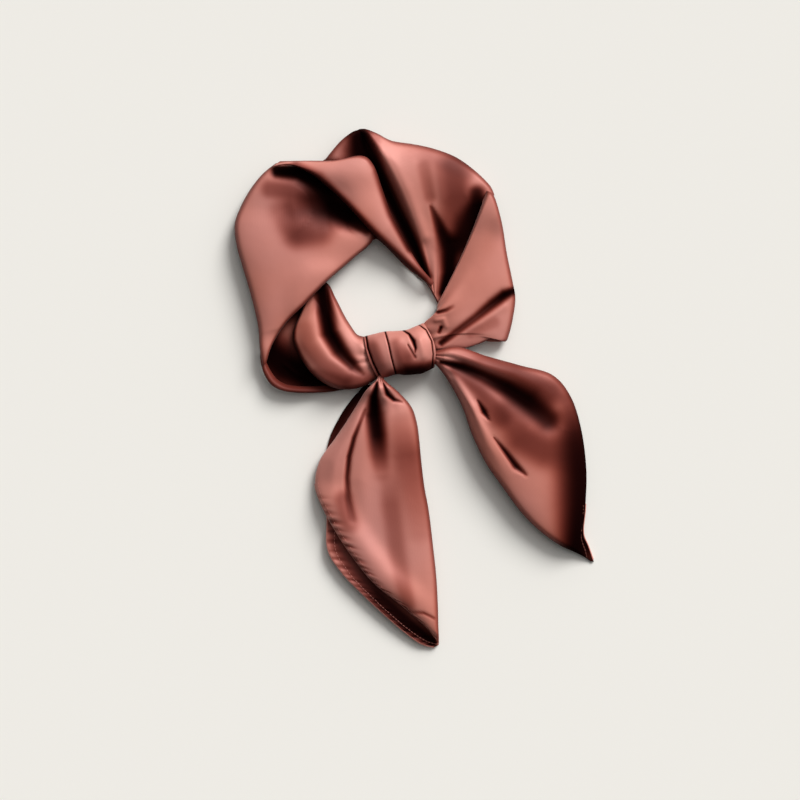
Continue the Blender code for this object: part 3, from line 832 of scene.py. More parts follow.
@dataclass
class Layer:
    """One layer of the folded satin.

    Each section runs from the start edge to the end edge. lean moves its crown towards the start edge
    when under 1 and towards the end edge when over 1, and arch_power rounds it. gathers are the pleats
    at the knot, on the side that knotted names. puckers is how high the hem puckers, in millimetres,
    from the share puckers_from of its length on, and pucker_depth is the shade they paint in the colour.
    edge_shade is the shade painted along the folded edges. closes gives the shares of the length over
    which the first and the last sections come down flat. loft fills points, and the shade painted at
    each.
    """

    name: str
    node: str
    sections: list[Union[Section, Ring]]
    marks: list[list[Mark]]
    start_edge: Edge = Edge.FOLDED
    end_edge: Edge = Edge.FOLDED
    held: str = "folded"
    rests_on: tuple[str, ...] = ()
    gathers: Optional[Gathers] = None
    knotted: Knotted = Knotted.START_EDGE
    arch_power: float = 0.48
    lean: float = 1.0
    puckers: float = 0.0
    puckers_from: float = 0.4
    pucker_depth: float = 0.6
    edge_shade: float = 0.38
    closes: tuple[float, float] = (0.0, 0.0)
    points: Optional[np.ndarray] = None
    depth: Optional[np.ndarray] = None

    def edge_sizes(self, edge: Edge, lengths: np.ndarray) -> tuple[np.ndarray, np.ndarray]:
        """Gives the radius and the tuck of an edge in each section.

        Args:
            edge: how the edge ends.
            lengths: each section's length in metres.

        Returns:
            The radii and the tucks, smaller where the layer is narrow.
        """
        radius, tuck = {
            Edge.FOLDED: (FOLD_RADIUS, FOLD_TUCK),
            Edge.HEMMED: (HEM_RADIUS, HEM_TUCK),
            Edge.HIDDEN: (0.0, 0.0),
        }[edge]
        narrow = NARROW_SHARE * lengths
        return np.minimum(radius, narrow), np.minimum(tuck, narrow)

    def closing(self, along: np.ndarray) -> np.ndarray:
        """Brings the layer's first and last rows down flat, where it closes.

        Args:
            along: how far each row is along the table, from 0 to 1.

        Returns:
            The share of its height that each row keeps.
        """
        kept = np.ones_like(along)
        for away, reach in ((along, self.closes[0]), (1 - along, self.closes[1])):
            if reach:
                kept = kept * np.sin(math.pi / 2 * np.minimum(away / reach, 1))
        return kept

    def edge_steps(
        self, edge: Edge, radius: np.ndarray, tuck: np.ndarray
    ) -> tuple[np.ndarray, np.ndarray]:
        """Steps round one edge, from under the layer up to where its span begins.

        Args:
            edge: how the edge ends.
            radius: the edge's radius in each section.
            tuck: how far it runs back under the layer.

        Returns:
            Offsets inwards from the edge and heights about its middle, by section and step.
        """
        if edge is Edge.HIDDEN:
            none = np.zeros((len(radius), 0))
            return none, none
        back = 1 - np.arange(TUCK_STEPS) / TUCK_STEPS
        angles = math.pi / 2 * (np.arange(ROLL_STEPS) / ROLL_STEPS - 1)
        radius, tuck = radius[:, None], tuck[:, None]
        offsets = np.concatenate([radius + tuck * back, radius * (1 - np.cos(angles))], axis=1)
        heights = np.concatenate([-radius * np.ones_like(back), radius * np.sin(angles)], axis=1)
        return offsets, heights

    def loft(self, plan: Plan) -> None:
        """Makes the layer's points from its sections, ridges, grooves and gathers.

        Args:
            plan: the drawing that the sections are counted on.
        """
        along = np.linspace(0, 1, ALONG_STEPS + 1)
        rows = smooth_rows(self.sections, along)
        start_x, start_y, start_z, end_x, end_y, end_z, crowns, bows = rows.T
        start = np.stack(plan.place(start_x, start_y), axis=-1)
        end = np.stack(plan.place(end_x, end_y), axis=-1)
        length = np.linalg.norm(end - start, axis=-1)
        way = (end - start) / length[:, None]
        kept = self.closing(along)
        start_radius, start_tuck = self.edge_sizes(self.start_edge, length)
        end_radius, end_tuck = self.edge_sizes(self.end_edge, length)
        start_radius, end_radius = start_radius * kept, end_radius * kept
        first, first_heights = self.edge_steps(self.start_edge, start_radius, start_tuck)
        last, last_heights = self.edge_steps(self.end_edge, end_radius, end_tuck)
        span = 0.5 - 0.5 * np.cos(math.pi * np.linspace(0, 1, SPAN_STEPS + 1))
        middle = span * length[:, None]
        middle_heights = (1 - span) * round_rise(middle, start_radius[:, None])
        middle_heights = middle_heights + span * round_rise(middle[:, ::-1], end_radius[:, None])
        offset = np.concatenate([first, middle, length[:, None] - last[:, ::-1]], axis=1)
        rise = np.concatenate([first_heights, middle_heights, last_heights[:, ::-1]], axis=1)
        share = np.concatenate([np.zeros(first.shape[1]), span, np.ones(last.shape[1])])
        share = np.broadcast_to(share, offset.shape)
        arch = np.sin(math.pi * share)
        crown = np.sin(math.pi * share**self.lean)
        bow = bows[:, None] * plan.square * arch
        xy = start[:, None] + way[:, None] * offset[..., None]
        xy = xy - np.stack([-way[:, 1], way[:, 0]], axis=-1)[:, None] * bow[..., None]
        lift, depth = self.marks_at(plan, xy)
        height = start_z[:, None] * (1 - share) + end_z[:, None] * share
        height = height + crowns[:, None] * crown**self.arch_power
        height = height + lift * np.minimum(MARK_FADE * arch, 1)
        height = (height + self.gather_lift(along[:, None], share)) * kept[:, None]
        base = start_radius[:, None] * (1 - share) + end_radius[:, None] * share
        z = np.maximum(height, 0) * MILLIMETRE + base + rise + CLOTH_WALL / 2
        self.points = np.concatenate([xy, z[..., None]], axis=-1)
        # Painted shade on each point: the marks' shade, with painted shade along the folded edges.
        self.depth = 1 - (1 - depth) * (1 - self.painted_edge_shade(offset, length[:, None] - offset))
        if self.puckers:
            self.pucker(plan)

    def painted_edge_shade(self, from_start: np.ndarray, from_end: np.ndarray) -> np.ndarray:
        """Paints shade into the colour along the folded edges, where the cloth turns under.

        Args:
            from_start: how far each point is in from the start edge, in metres.
            from_end: how far it is in from the end edge.

        Returns:
            The painted shade to add.
        """
        added = np.zeros_like(from_start)
        for edge, away in ((self.start_edge, from_start), (self.end_edge, from_end)):
            if edge is Edge.FOLDED:
                added = added + self.edge_shade * np.exp(-((away / EDGE_SHADE_WIDTH) ** 2))
        return added

    def marks_at(self, plan: Plan, xy: np.ndarray) -> tuple[np.ndarray, np.ndarray]:
        """Reads the layer's ridges and grooves at places in metres.

        Args:
            plan: the drawing.
            xy: the places.

        Returns:
            The lift in millimetres and the painted shade.
        """
        middle = (plan.low + plan.high) / 2
        x = plan.middle_x + (xy[..., 0] - middle.x) / plan.square
        y = plan.middle_y - (xy[..., 1] - middle.y) / plan.square_deep
        return read_marks(self.marks, x, y)

    def gather_lift(self, along: np.ndarray, share: np.ndarray) -> np.ndarray:
        """Gives the lift of the fine pleats, which fade out from the knot.

        Args:
            along: how far each row is along the table, from 0 to 1.
            share: how far each column is across it, from 0 to 1.

        Returns:
            The lift in millimetres.
        """
        if self.gathers is None:
            return np.zeros_like(share)
        count, height, reach = self.gathers
        if self.knotted is Knotted.FIRST_SECTION:
            across, away = share, along
        else:
            across, away = along, share
        sway = np.sin(GATHER_SWAY_TURNS * math.pi * across * count / GATHER_SWAY_EVERY)
        wave = np.sin(2 * math.pi * count * across + GATHER_SWAY * sway)
        edges = np.sin(math.pi * share) ** 0.5
        begun = np.minimum(away / (GATHER_START * reach), 1)
        return height * wave * np.exp(-away / reach) * begun * edges

    def pucker(self, plan: Plan) -> None:
        """Draws the hemmed start edge in at every few stitches, and paints shade into the valleys
        between.

        Args:
            plan: the drawing, whose squares set the puckers' size.
        """
        edge = self.points[:, 0]
        run = steps_of(edge[:, None], 0)[:, 0] / plan.square
        drift = PUCKERS.drift * np.sin(run / PUCKERS.drift_run)
        wave = np.sin(2 * math.pi * run / PUCKERS.pitch + drift)
        wave = wave + PUCKERS.ripple * np.sin(run / PUCKERS.ripple_run)
        inwards = np.linalg.norm(self.points - edge[:, None], axis=-1) / plan.square
        fall = np.exp(-((inwards / PUCKERS.reach) ** 2))
        along = np.linspace(0, 1, len(edge))
        shown = np.clip((along - self.puckers_from) / PUCKERS.fade_in, 0, 1)
        shown = shown * np.clip((1 - along) / PUCKERS.fade_out, 0, 1)
        ripple = (wave * shown)[:, None] * fall
        self.points[..., 2] += self.puckers * MILLIMETRE * ripple
        # Painted shade in the pucker valleys.
        valley_shade = np.clip(PUCKERS.least_valley_shade * fall * shown[:, None] - ripple, 0, PUCKERS.most_valley_shade)
        self.depth = self.depth + self.pucker_depth * valley_shade
        self.points[..., 2] = np.maximum(self.points[..., 2], CLOTH_WALL / 2)

    def lay(self, relief: Relief) -> None:
        """Lays the layer over those below it."""
        self.points = relief.settle(self.points)

    def deepen(self, relief: Relief, around: np.ndarray) -> None:
        """Paints shade into the colour where the layer lies in a hollow or under another.

        Args:
            relief: the scarf's whole top surface.
            around: that surface, softened.
        """
        hollow = relief.sample(around, self.points) - self.points[..., 2]
        hidden = relief.sample(relief.heights, self.points) - self.points[..., 2]
        found = np.clip((hollow - HOLLOW_SHADE.hollow_from) / HOLLOW_SHADE.hollow_run, 0, 1)
        found = found + np.clip((hidden - HOLLOW_SHADE.hidden_from) / HOLLOW_SHADE.hidden_run, 0, 1)
        clear = (1 - np.clip(self.depth, 0, 1)) * (1 - HOLLOW_SHADE.deepening * np.clip(found, 0, 1))
        self.depth = 1 - clear**PAINTED_SHADE_POWER

    def build(self, plan: Plan, finish: bpy.types.Material) -> bpy.types.Object:
        """Makes the layer's mesh, gives it its wall and dresses it.

        Args:
            plan: the drawing, seen from the camera.
            finish: the satin.

        Returns:
            The finished piece.
        """
        seen = plan.under_the_eye(self.points)
        rows, columns = seen.shape[:2]
        index = np.arange(rows * columns).reshape(rows, columns)
        faces = np.stack([index[:-1, :-1], index[:-1, 1:], index[1:, 1:], index[1:, :-1]], axis=-1)
        mesh = bpy.data.meshes.new(self.name)
        mesh.from_pydata(seen.reshape(-1, 3).tolist(), [], faces.reshape(-1, 4).tolist())
        across = steps_of(seen, 1)
        down = np.broadcast_to(steps_of(seen, 0)[:, columns // 2, None], across.shape)
        uv = np.stack([across, down], axis=-1).reshape(-1, 2)
        layer = mesh.uv_layers.new(name=CLOTH_UV)
        corners = np.zeros(len(mesh.loops), dtype=np.int32)
        mesh.loops.foreach_get("vertex_index", corners)
        layer.data.foreach_set("uv", uv[corners].ravel())
        # The painted shade is kept on each point as an attribute that the satin reads.
        attribute = mesh.attributes.new(SHADE_ATTRIBUTE, "FLOAT", "POINT")
        attribute.data.foreach_set("value", self.depth.ravel().astype(np.float32))
        weld(mesh)
        mesh.shade_smooth()
        mesh.materials.append(finish)
        sheet = placed(self.name, mesh)
        wall = sheet.modifiers.new("Cloth wall", "SOLIDIFY")
        wall.thickness = CLOTH_WALL
        wall.offset = 0.0
        return made_plain(sheet)

    def flat_size(self) -> tuple[float, float, float]:
        """Measures what the layer was cut to.

        Returns:
            Its mean width and length and its area, in metres and square metres.
        """
        width = float(steps_of(self.points, 1)[:, -1].mean())
        length = float(steps_of(self.points, 0)[-1].mean())
        edge_1 = self.points[1:, :-1] - self.points[:-1, :-1]
        edge_2 = self.points[:-1, 1:] - self.points[:-1, :-1]
        area = float(np.linalg.norm(np.cross(edge_1, edge_2), axis=-1).sum())
        return width, length, area

    def declare(self, piece: bpy.types.Object, trims: Sequence[bpy.types.Object]) -> None:
        """Hangs the piece and its trims on the body, hides the model part it stands for, and logs its
        size.

        Args:
            piece: the layer's own object.
            trims: the hems and stitches on it.
        """
        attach(piece, BODY)
        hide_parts(self.node)
        for trim in trims:
            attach(trim, BODY)
        width, length, area = self.flat_size()
        top = float(self.points[..., 2].max())
        size = f"{width * 1e3:.0f} x {length * 1e3:.0f} mm, {area * 1e4:.0f} cm2"
        log.info("%s: %s, %.1f mm high", self.name, size, top * 1e3)


@dataclass
class Knot(Layer):
    """The wraps of the knot: one broad band of satin round the gathers.

    At both ends it draws in to the share lip of its size, in lip_rings steps, and by lip_inset squares.
    A roundness under 1 makes it squarer than an oval. Its marks fade in over the upper half, and
    underside_shade is the shade painted evenly over the lower half.
    """

    along_steps: int = 170
    around_steps: int = 110
    lip: float = 0.78
    lip_rings: int = 6
    lip_inset: float = 3.0
    roundness: float = 0.75
    mark_fade: float = 3
    underside_shade: float = 0.6

    def loft(self, plan: Plan) -> None:
        """Makes the knot's points from its rings and the lines between its wraps.

        Args:
            plan: the drawing that the rings are counted on.
        """
        lips = np.sin(np.linspace(0, math.pi / 2, self.lip_rings, endpoint=False))
        along = np.linspace(0, 1, self.along_steps + 1)
        rows = smooth_rows(self.sections, along)
        first, last = rows[:1].repeat(self.lip_rings, 0), rows[-1:].repeat(self.lip_rings, 0)
        rows = np.concatenate([first, rows, last])
        top_x, top_y, bottom_x, bottom_y, heights, bows = rows.T[:, :, None]
        swell = np.concatenate([lips, np.ones(len(along)), lips[::-1]])
        size = self.lip + (1 - self.lip) * swell
        inset = (1 - swell) * np.where(np.arange(len(size)) < len(size) / 2, 1, -1)
        angle = 2 * math.pi * np.linspace(0, 1, self.around_steps + 1)
        share = 0.5 - 0.5 * np.cos(angle) * size[:, None]
        arch = np.sin(math.pi * share)
        x = top_x + share * (bottom_x - top_x) + bows * arch
        x = x + self.lip_inset * inset[:, None]
        y = top_y + share * (bottom_y - top_y)
        upper = np.sign(np.sin(angle)) * np.abs(np.sin(angle)) ** self.roundness * size[:, None]
        lift, depth = read_marks(self.marks, x, y)
        height = 0.5 * heights * (1 + upper)
        z = (height + lift * np.clip(self.mark_fade * upper, 0, 1)) * MILLIMETRE + CLOTH_WALL
        self.points = np.stack([*plan.place(x, y), z], axis=-1)
        # Painted shade: the marks' shade over the upper half, and even painted shade over the underside.
        self.depth = np.where(upper > 0, depth, self.underside_shade)

    def lay(self, relief: Relief) -> None:
        """Adds the knot to the scarf's surface: it stands on the floor itself."""
        printed = relief.print_of(self.points, np.maximum, -np.inf)
        relief.heights = np.maximum(relief.heights, printed)


def weld(mesh: bpy.types.Mesh) -> None:
    """Merges the points that coincide, and turns all faces the same way.

    Args:
        mesh: the mesh to mend.
    """
    shape = bmesh.new()
    shape.from_mesh(mesh)
    bmesh.ops.remove_doubles(shape, verts=shape.verts, dist=WELD)
    bmesh.ops.recalc_face_normals(shape, faces=shape.faces)
    shape.to_mesh(mesh)
    shape.free()


def placed(name: str, data: bpy.types.ID) -> bpy.types.Object:
    """Makes an object and links it to the scene.

    Args:
        name: the object's name.
        data: its mesh, lamp or lens.

    Returns:
        The object.
    """
    item = bpy.data.objects.new(name, data)
    bpy.context.scene.collection.objects.link(item)
    return item


def made_plain(item: bpy.types.Object) -> bpy.types.Object:
    """Turns an object's evaluated shape into its plain mesh.

    Args:
        item: an object with modifiers.

    Returns:
        The same object, with the result as its mesh and no modifier left.
    """
    graph = bpy.context.evaluated_depsgraph_get()
    mesh = bpy.data.meshes.new_from_object(item.evaluated_get(graph))
    item.modifiers.clear()
    item.data = mesh
    return item


class Graph:
    """A node tree that nodes are added to, with their settings and the values of their sockets."""

    def __init__(self, tree: bpy.types.NodeTree) -> None:
        """Keeps the tree.

        Args:
            tree: the material's or the modifier's own tree.
        """
        self.tree = tree

    def node(
        self, kind: str, settings: Mapping[str, object], inputs: Mapping[Union[str, int], object]
    ) -> bpy.types.Node:
        """Adds a node.

        Args:
            kind: the node's type.
            settings: its own settings, which are set first.
            inputs: the values or links of its sockets, by name or number.

        Returns:
            The node.
        """
        node = self.tree.nodes.new(kind)
        for name, value in settings.items():
            setattr(node, name, value)
        for name, value in inputs.items():
            socket = value.socket if isinstance(value, Value) else value
            if isinstance(socket, bpy.types.NodeSocket):
                self.tree.links.new(socket, node.inputs[name])
            else:
                node.inputs[name].default_value = value
        return node

    def value(
        self,
        kind: str,
        settings: Mapping[str, object],
        inputs: Mapping[Union[str, int], object],
        output: Union[str, int] = 0,
    ) -> "Value":
        """Adds a node and wraps one of its outputs.

        Args:
            kind: the node's type.
            settings: its own settings.
            inputs: its sockets' values or links.
            output: the output's name or number.

        Returns:
            The output, ready for arithmetic.
        """
        return Value(self, self.node(kind, settings, inputs).outputs[output])

    def mixed(self, share: "Value", first: object, second: object) -> bpy.types.NodeSocket:
        """Mixes two colours.

        Args:
            share: how much of the second colour, from 0 to 1.
            first: a colour or a link to one.
            second: the other colour.

        Returns:
            The mixed colour's socket.
        """
        mix = self.node("ShaderNodeMix", {"data_type": "RGBA"}, {0: share, 6: first, 7: second})
        return mix.outputs[2]


class Value:
    """One number of a node tree, written as Python arithmetic."""

    def __init__(self, graph: Graph, socket: bpy.types.NodeSocket) -> None:
        """Keeps the socket.

        Args:
            graph: the tree that it is in.
            socket: the output that holds the number.
        """
        self.graph = graph
        self.socket = socket

    def maths(self, operation: str, *others: Union["Value", float], first: bool = True) -> "Value":
        """Adds a Math node.

        Args:
            operation: what it does.
            others: its other numbers.
            first: whether this number comes first.

        Returns:
            The result.
        """
        terms = [self, *others] if first else [*others, self]
        return self.graph.value("ShaderNodeMath", {"operation": operation}, dict(enumerate(terms)))

    def __add__(self, other: Union["Value", float]) -> "Value":
        """Adds."""
        return self.maths("ADD", other)

    def __radd__(self, other: float) -> "Value":
        """Adds to a plain number."""
        return self.maths("ADD", other, first=False)

    def __sub__(self, other: Union["Value", float]) -> "Value":
        """Takes away."""
        return self.maths("SUBTRACT", other)

    def __rsub__(self, other: float) -> "Value":
        """Takes this from a plain number."""
        return self.maths("SUBTRACT", other, first=False)

    def __mul__(self, other: Union["Value", float]) -> "Value":
        """Multiplies."""
        return self.maths("MULTIPLY", other)

    def __rmul__(self, other: float) -> "Value":
        """Multiplies a plain number."""
        return self.maths("MULTIPLY", other, first=False)

    def sine(self) -> "Value":
        """The sine."""
        return self.maths("SINE")


class Noise(NamedTuple):
    """A cloudy pattern: how fine it is, how many steps finer it goes, and how strong those are."""

    scale: float
    detail: float
    roughness: float = 0.5

    def over(self, graph: Graph, place: bpy.types.NodeSocket) -> Value:
        """Adds the pattern to a graph, over a piece's own places."""
        sizes = {"Scale": self.scale, "Detail": self.detail, "Roughness": self.roughness}
        return graph.value("ShaderNodeTexNoise", {}, {"Vector": place, **sizes})


@dataclass(frozen=True)
class Satin:
    """Heavy polyester satin with a soft sheen, darkened by painted shade in its folds and hollows."""

    name: str = "copper_rose_satin"
    lit: Colour = (0.57, 0.236, 0.204, 1.0)
    warm: Colour = (0.55, 0.172, 0.116, 1.0)
    # The near-black colour of full painted shade.
    hollow: Colour = (0.0045, 0.0008, 0.0008, 1.0)
    tint_clouds: Noise = Noise(11.0, 2.0)
    tint_contrast: float = 1.6
    tint_shift: float = 0.3
    metallic: float = 0.08
    roughness: float = 0.50
    rough_clouds: Noise = Noise(70.0, 4.0)
    rough_spread: float = 0.12
    specular: float = 0.35
    sheen: float = 0.18
    sheen_roughness: float = 0.35
    sheen_tint: Colour = (1.0, 0.70, 0.64, 1.0)
    # How strongly the painted shade darkens the base colour.
    deepening: float = 1.1
    weave_lines: float = 5200.0
    weave_slant: float = 0.4
    weave_strength: float = 0.06
    weave_height: float = 0.0002
    crumple_clouds: Noise = Noise(38.0, 3.0, 0.45)
    crumple_strength: float = 0.22
    crumple_height: float = 0.0025

    def material(self) -> bpy.types.Material:
        """Builds the satin.

        Returns:
            The material.
        """
        material = bpy.data.materials.new(self.name)
        material.use_nodes = True
        graph = Graph(material.node_tree)
        shader = material.node_tree.nodes["Principled BSDF"]
        place = graph.node("ShaderNodeTexCoord", {}, {}).outputs["Object"]
        broad = self.tint_clouds.over(graph, place)
        fine = self.rough_clouds.over(graph, place)
        # The painted shade on each point darkens the base colour through a gamma.
        depth = graph.value("ShaderNodeAttribute", {"attribute_name": SHADE_ATTRIBUTE}, {}, "Fac")
        clouds = broad * self.tint_contrast - self.tint_shift
        tint = graph.mixed(clouds, self.lit, self.warm)
        shade_gamma = depth * self.deepening + 1.0
        colour = graph.node("ShaderNodeGamma", {}, {"Color": tint, "Gamma": shade_gamma}).outputs["Color"]
        uv = graph.node("ShaderNodeUVMap", {"uv_map": CLOTH_UV}, {}).outputs["UV"]
        split = graph.node("ShaderNodeSeparateXYZ", {}, {"Vector": uv})
        across, down = Value(graph, split.outputs["X"]), Value(graph, split.outputs["Y"])
        weave = (across * self.weave_lines + down * (self.weave_slant * self.weave_lines)).sine()
        woven = {"Strength": self.weave_strength, "Distance": self.weave_height, "Height": weave}
        grain = graph.node("ShaderNodeBump", {}, woven).outputs["Normal"]
        crumple = self.crumple_clouds.over(graph, place)
        creased = {"Strength": self.crumple_strength, "Distance": self.crumple_height, "Height": crumple}
        bump = graph.node("ShaderNodeBump", {}, {**creased, "Normal": grain})
        links = material.node_tree.links
        links.new(colour, shader.inputs["Base Color"])
        rough = fine * self.rough_spread + (self.roughness - self.rough_spread / 2)
        links.new(rough.socket, shader.inputs["Roughness"])
        links.new(bump.outputs["Normal"], shader.inputs["Normal"])
        # Painted shade: a near-black shader with no reflection, mixed in as far as the painted shade
        # goes.
        painted_shade_settings = {"Base Color": self.hollow, "Roughness": 1.0, "Specular IOR Level": 0.0}
        painted_shade_bsdf = graph.node("ShaderNodeBsdfPrincipled", {}, painted_shade_settings)
        both = {0: depth, 1: shader.outputs["BSDF"], 2: painted_shade_bsdf.outputs["BSDF"]}
        with_painted_shade = graph.node("ShaderNodeMixShader", {}, both).outputs["Shader"]
        links.new(with_painted_shade, material.node_tree.nodes["Material Output"].inputs["Surface"])
        shader.inputs["Metallic"].default_value = self.metallic
        shader.inputs["Sheen Weight"].default_value = self.sheen
        shader.inputs["Sheen Roughness"].default_value = self.sheen_roughness
        shader.inputs["Sheen Tint"].default_value = self.sheen_tint
        shader.inputs["Specular IOR Level"].default_value = self.specular
        return material


@dataclass(frozen=True)
class Paper:
    """The pale backdrop."""

    name: str = "pale_backdrop"
    colour: Colour = (0.90, 0.876, 0.822, 1.0)

    def material(self) -> bpy.types.Material:
        """Builds the backdrop's material.

        Returns:
            The material.
        """
        material = bpy.data.materials.new(self.name)
        material.use_nodes = True
        shader = material.node_tree.nodes["Principled BSDF"]
        shader.inputs["Base Color"].default_value = self.colour
        shader.inputs["Roughness"].default_value = 1.0
        shader.inputs["Specular IOR Level"].default_value = 0.0
        return material


class Trim(Enum):
    """What a Geometry Nodes tree grows along a line."""

    STITCHES = "stitches"
    ROLLED_EDGE = "rolled_edge"


@dataclass(frozen=True)
class Hem:
    """A rolled edge along a layer's start or end edge, with a line of stitches inboard.

    It runs from the share first_row to the share last_row of the layer's length.
    """

    name: str
    at_end: bool = False
    first_row: float = 0.0
    last_row: float = 1.0
    inboard: float = 0.0058
    pitch: float = 0.0026
    stitch_length: float = 0.0017
    stitch_radius: float = 0.00016
    edge_radius: float = 0.0008
    stitch_sides: int = 6
    edge_sides: int = 8

    def tree(self, trim: Trim) -> bpy.types.NodeTree:
        """Builds the tree that grows the stitches or the rolled edge along a line of edges.

        Args:
            trim: which of the two.

        Returns:
            The tree, with its sizes as named inputs.
        """
        tree = bpy.data.node_groups.new(f"{self.name}_{trim.value}", "GeometryNodeTree")
        face = tree.interface
        face.new_socket("Line", in_out="INPUT", socket_type="NodeSocketGeometry")
        for name in ("Pitch", "Length", "Radius"):
            face.new_socket(name, in_out="INPUT", socket_type="NodeSocketFloat")
        face.new_socket("Finish", in_out="INPUT", socket_type="NodeSocketMaterial")
        face.new_socket("Geometry", in_out="OUTPUT", socket_type="NodeSocketGeometry")
        graph = Graph(tree)
        given = graph.node("NodeGroupInput", {}, {}).outputs
        curve = graph.node("GeometryNodeMeshToCurve", {}, {"Mesh": given["Line"]}).outputs["Curve"]
        if trim is Trim.STITCHES:
            grown = self.stitches(graph, given, curve)
        else:
            rim = {"Resolution": self.edge_sides, "Radius": given["Radius"]}
            circle = graph.node("GeometryNodeCurvePrimitiveCircle", {}, rim).outputs["Curve"]
            swept = {"Curve": curve, "Profile Curve": circle, "Fill Caps": True}
            grown = graph.node("GeometryNodeCurveToMesh", {}, swept).outputs["Mesh"]
        for kind, more in (
            ("GeometryNodeSetShadeSmooth", {}),
            ("GeometryNodeRealizeInstances", {}),
            ("GeometryNodeSetMaterial", {"Material": given["Finish"]}),
        ):
            grown = graph.node(kind, {}, {"Geometry": grown, **more}).outputs["Geometry"]
        graph.node("NodeGroupOutput", {}, {"Geometry": grown})
        return tree

    def stitches(
        self, graph: Graph, given: Mapping[str, bpy.types.NodeSocket], curve: bpy.types.NodeSocket
    ) -> bpy.types.NodeSocket:
        """Adds the nodes that set one small stitch at every pitch along a curve.

        Args:
            graph: the tree.
            given: its inputs.
            curve: the line to follow.

        Returns:
            The stitches.
        """
        by_pitch = {"Curve": curve, "Length": given["Pitch"]}
        spaced = graph.node("GeometryNodeResampleCurve", {"mode": "LENGTH"}, by_pitch)
        size = {"Vertices": self.stitch_sides, "Radius": given["Radius"], "Depth": given["Length"]}
        thread = graph.node("GeometryNodeMeshCylinder", {}, size)
        way = {"Vector": graph.node("GeometryNodeInputTangent", {}, {}).outputs["Tangent"]}
        turned = graph.node("FunctionNodeAlignRotationToVector", {"axis": "Z"}, way)
        places = {
            "Points": spaced.outputs["Curve"],
            "Instance": thread.outputs["Mesh"],
            "Rotation": turned.outputs["Rotation"],
        }
        return graph.node("GeometryNodeInstanceOnPoints", {}, places).outputs["Instances"]

    def line(self, layer: Layer, plan: Plan, inboard: float, above: float) -> np.ndarray:
        """Finds the line on a layer that runs along its edge.

        Args:
            layer: the cloth.
            plan: the drawing, seen from the camera.
            inboard: how far in from the edge.
            above: how far above the middle of the cloth.

        Returns:
            The line's points.
        """
        points = layer.points[:, ::-1] if self.at_end else layer.points
        rows = len(points)
        points = points[int(self.first_row * (rows - 1)) : int(self.last_row * (rows - 1)) + 1]
        first = TUCK_STEPS + ROLL_STEPS
        run = steps_of(points[:, first:], 1)
        column = first + np.argmax(run >= inboard, axis=1)
        line = points[np.arange(len(points)), column]
        line[:, 2] += above
        return plan.under_the_eye(line)

    def build(self, layer: Layer, plan: Plan, finish: bpy.types.Material) -> list[bpy.types.Object]:
        """Makes the stitches and the rolled edge of a layer.

        Args:
            layer: the cloth that they are on.
            plan: the drawing.
            finish: the satin.

        Returns:
            The two pieces.
        """
        places = {
            Trim.STITCHES: (self.inboard, CLOTH_WALL / 2, self.stitch_radius),
            Trim.ROLLED_EDGE: (0.0, 0.0, self.edge_radius),
        }
        made = []
        for trim, (inboard, above, radius) in places.items():
            line = self.line(layer, plan, inboard, above)
            line[:, 2] = np.maximum(line[:, 2], radius + CLOTH_WALL / 2)
            mesh = bpy.data.meshes.new(f"{self.name}_{trim.value}")
            mesh.from_pydata(line.tolist(), [(i, i + 1) for i in range(len(line) - 1)], [])
            item = placed(mesh.name, mesh)
            tree = self.tree(trim)
            grower = item.modifiers.new("Grow", "NODES")
            grower.node_group = tree
            sizes = {"Pitch": self.pitch, "Length": self.stitch_length, "Radius": radius}
            sizes["Finish"] = finish
            for socket in tree.interface.items_tree:
                if socket.name in sizes:
                    grower[socket.identifier] = sizes[socket.name]
            made.append(made_plain(item))
        return made


@dataclass(frozen=True)
class Studio:
    """The pale floor, the soft light from the upper right, and the camera straight above."""

    floor_size: float = 6.0
    sun_strength: float = 2.9
    sun_degrees: float = 28.0
    sun_height: float = 34.0
    sun_bearing: float = 57.0
    sky_strength: float = 1.45
    sky_focus: float = 2.5
    sky_dark: float = 0.05
    sky_colour: Colour = (1.0, 1.0, 1.0, 1.0)

    def build(self, plan: Plan) -> None:
        """Builds the floor, the lights and the camera.

        Args:
            plan: the drawing that the camera sees.
        """
        self.floor()
        self.light()
        self.camera(plan)

    def floor(self) -> None:
        """Lays the floor."""
        half = self.floor_size / 2
        mesh = bpy.data.meshes.new("floor")
        corners = [(-half, -half, 0), (half, -half, 0), (half, half, 0), (-half, half, 0)]
        mesh.from_pydata(corners, [], [(0, 1, 2, 3)])
        mesh.materials.append(Paper().material())
        placed("floor", mesh)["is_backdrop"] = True

    def light(self) -> None:
        """Sets the soft key light and the sky."""
        lamp = bpy.data.lights.new("key", "SUN")
        lamp.energy = self.sun_strength
        lamp.angle = math.radians(self.sun_degrees)
        height, bearing = math.radians(self.sun_height), math.radians(self.sun_bearing)
        level = math.cos(height)
        towards = Vector((level * math.cos(bearing), level * math.sin(bearing), math.sin(height)))
        placed("key", lamp).rotation_euler = towards.to_track_quat("Z", "Y").to_euler()
        world = bpy.data.worlds.new("studio")
        world.use_nodes = True
        sky = world.node_tree.nodes["Background"]
        sky.inputs["Color"].default_value = self.sky_colour
        graph = Graph(world.node_tree)
        way = graph.node("ShaderNodeTexCoord", {}, {}).outputs["Generated"]
        dot = {"operation": "DOT_PRODUCT"}
        facing = graph.value("ShaderNodeVectorMath", dot, {0: way, 1: towards}, "Value")
        broad = facing.maths("MAXIMUM", 0.0).maths("POWER", self.sky_focus)
        strength = broad * self.sky_strength + self.sky_dark
        world.node_tree.links.new(strength.socket, sky.inputs["Strength"])
        bpy.context.scene.world = world

    def camera(self, plan: Plan) -> None:
        """Sets the camera straight above the scarf.

        Args:
            plan: the drawing that it sees.
        """
        lens = bpy.data.cameras.new("camera")
        lens.lens = plan.lens
        lens.sensor_width = plan.sensor
        camera = placed("camera", lens)
        camera.location = plan.eye
        bpy.context.scene.camera = camera
        bpy.context.scene.view_settings.view_transform = "Standard"


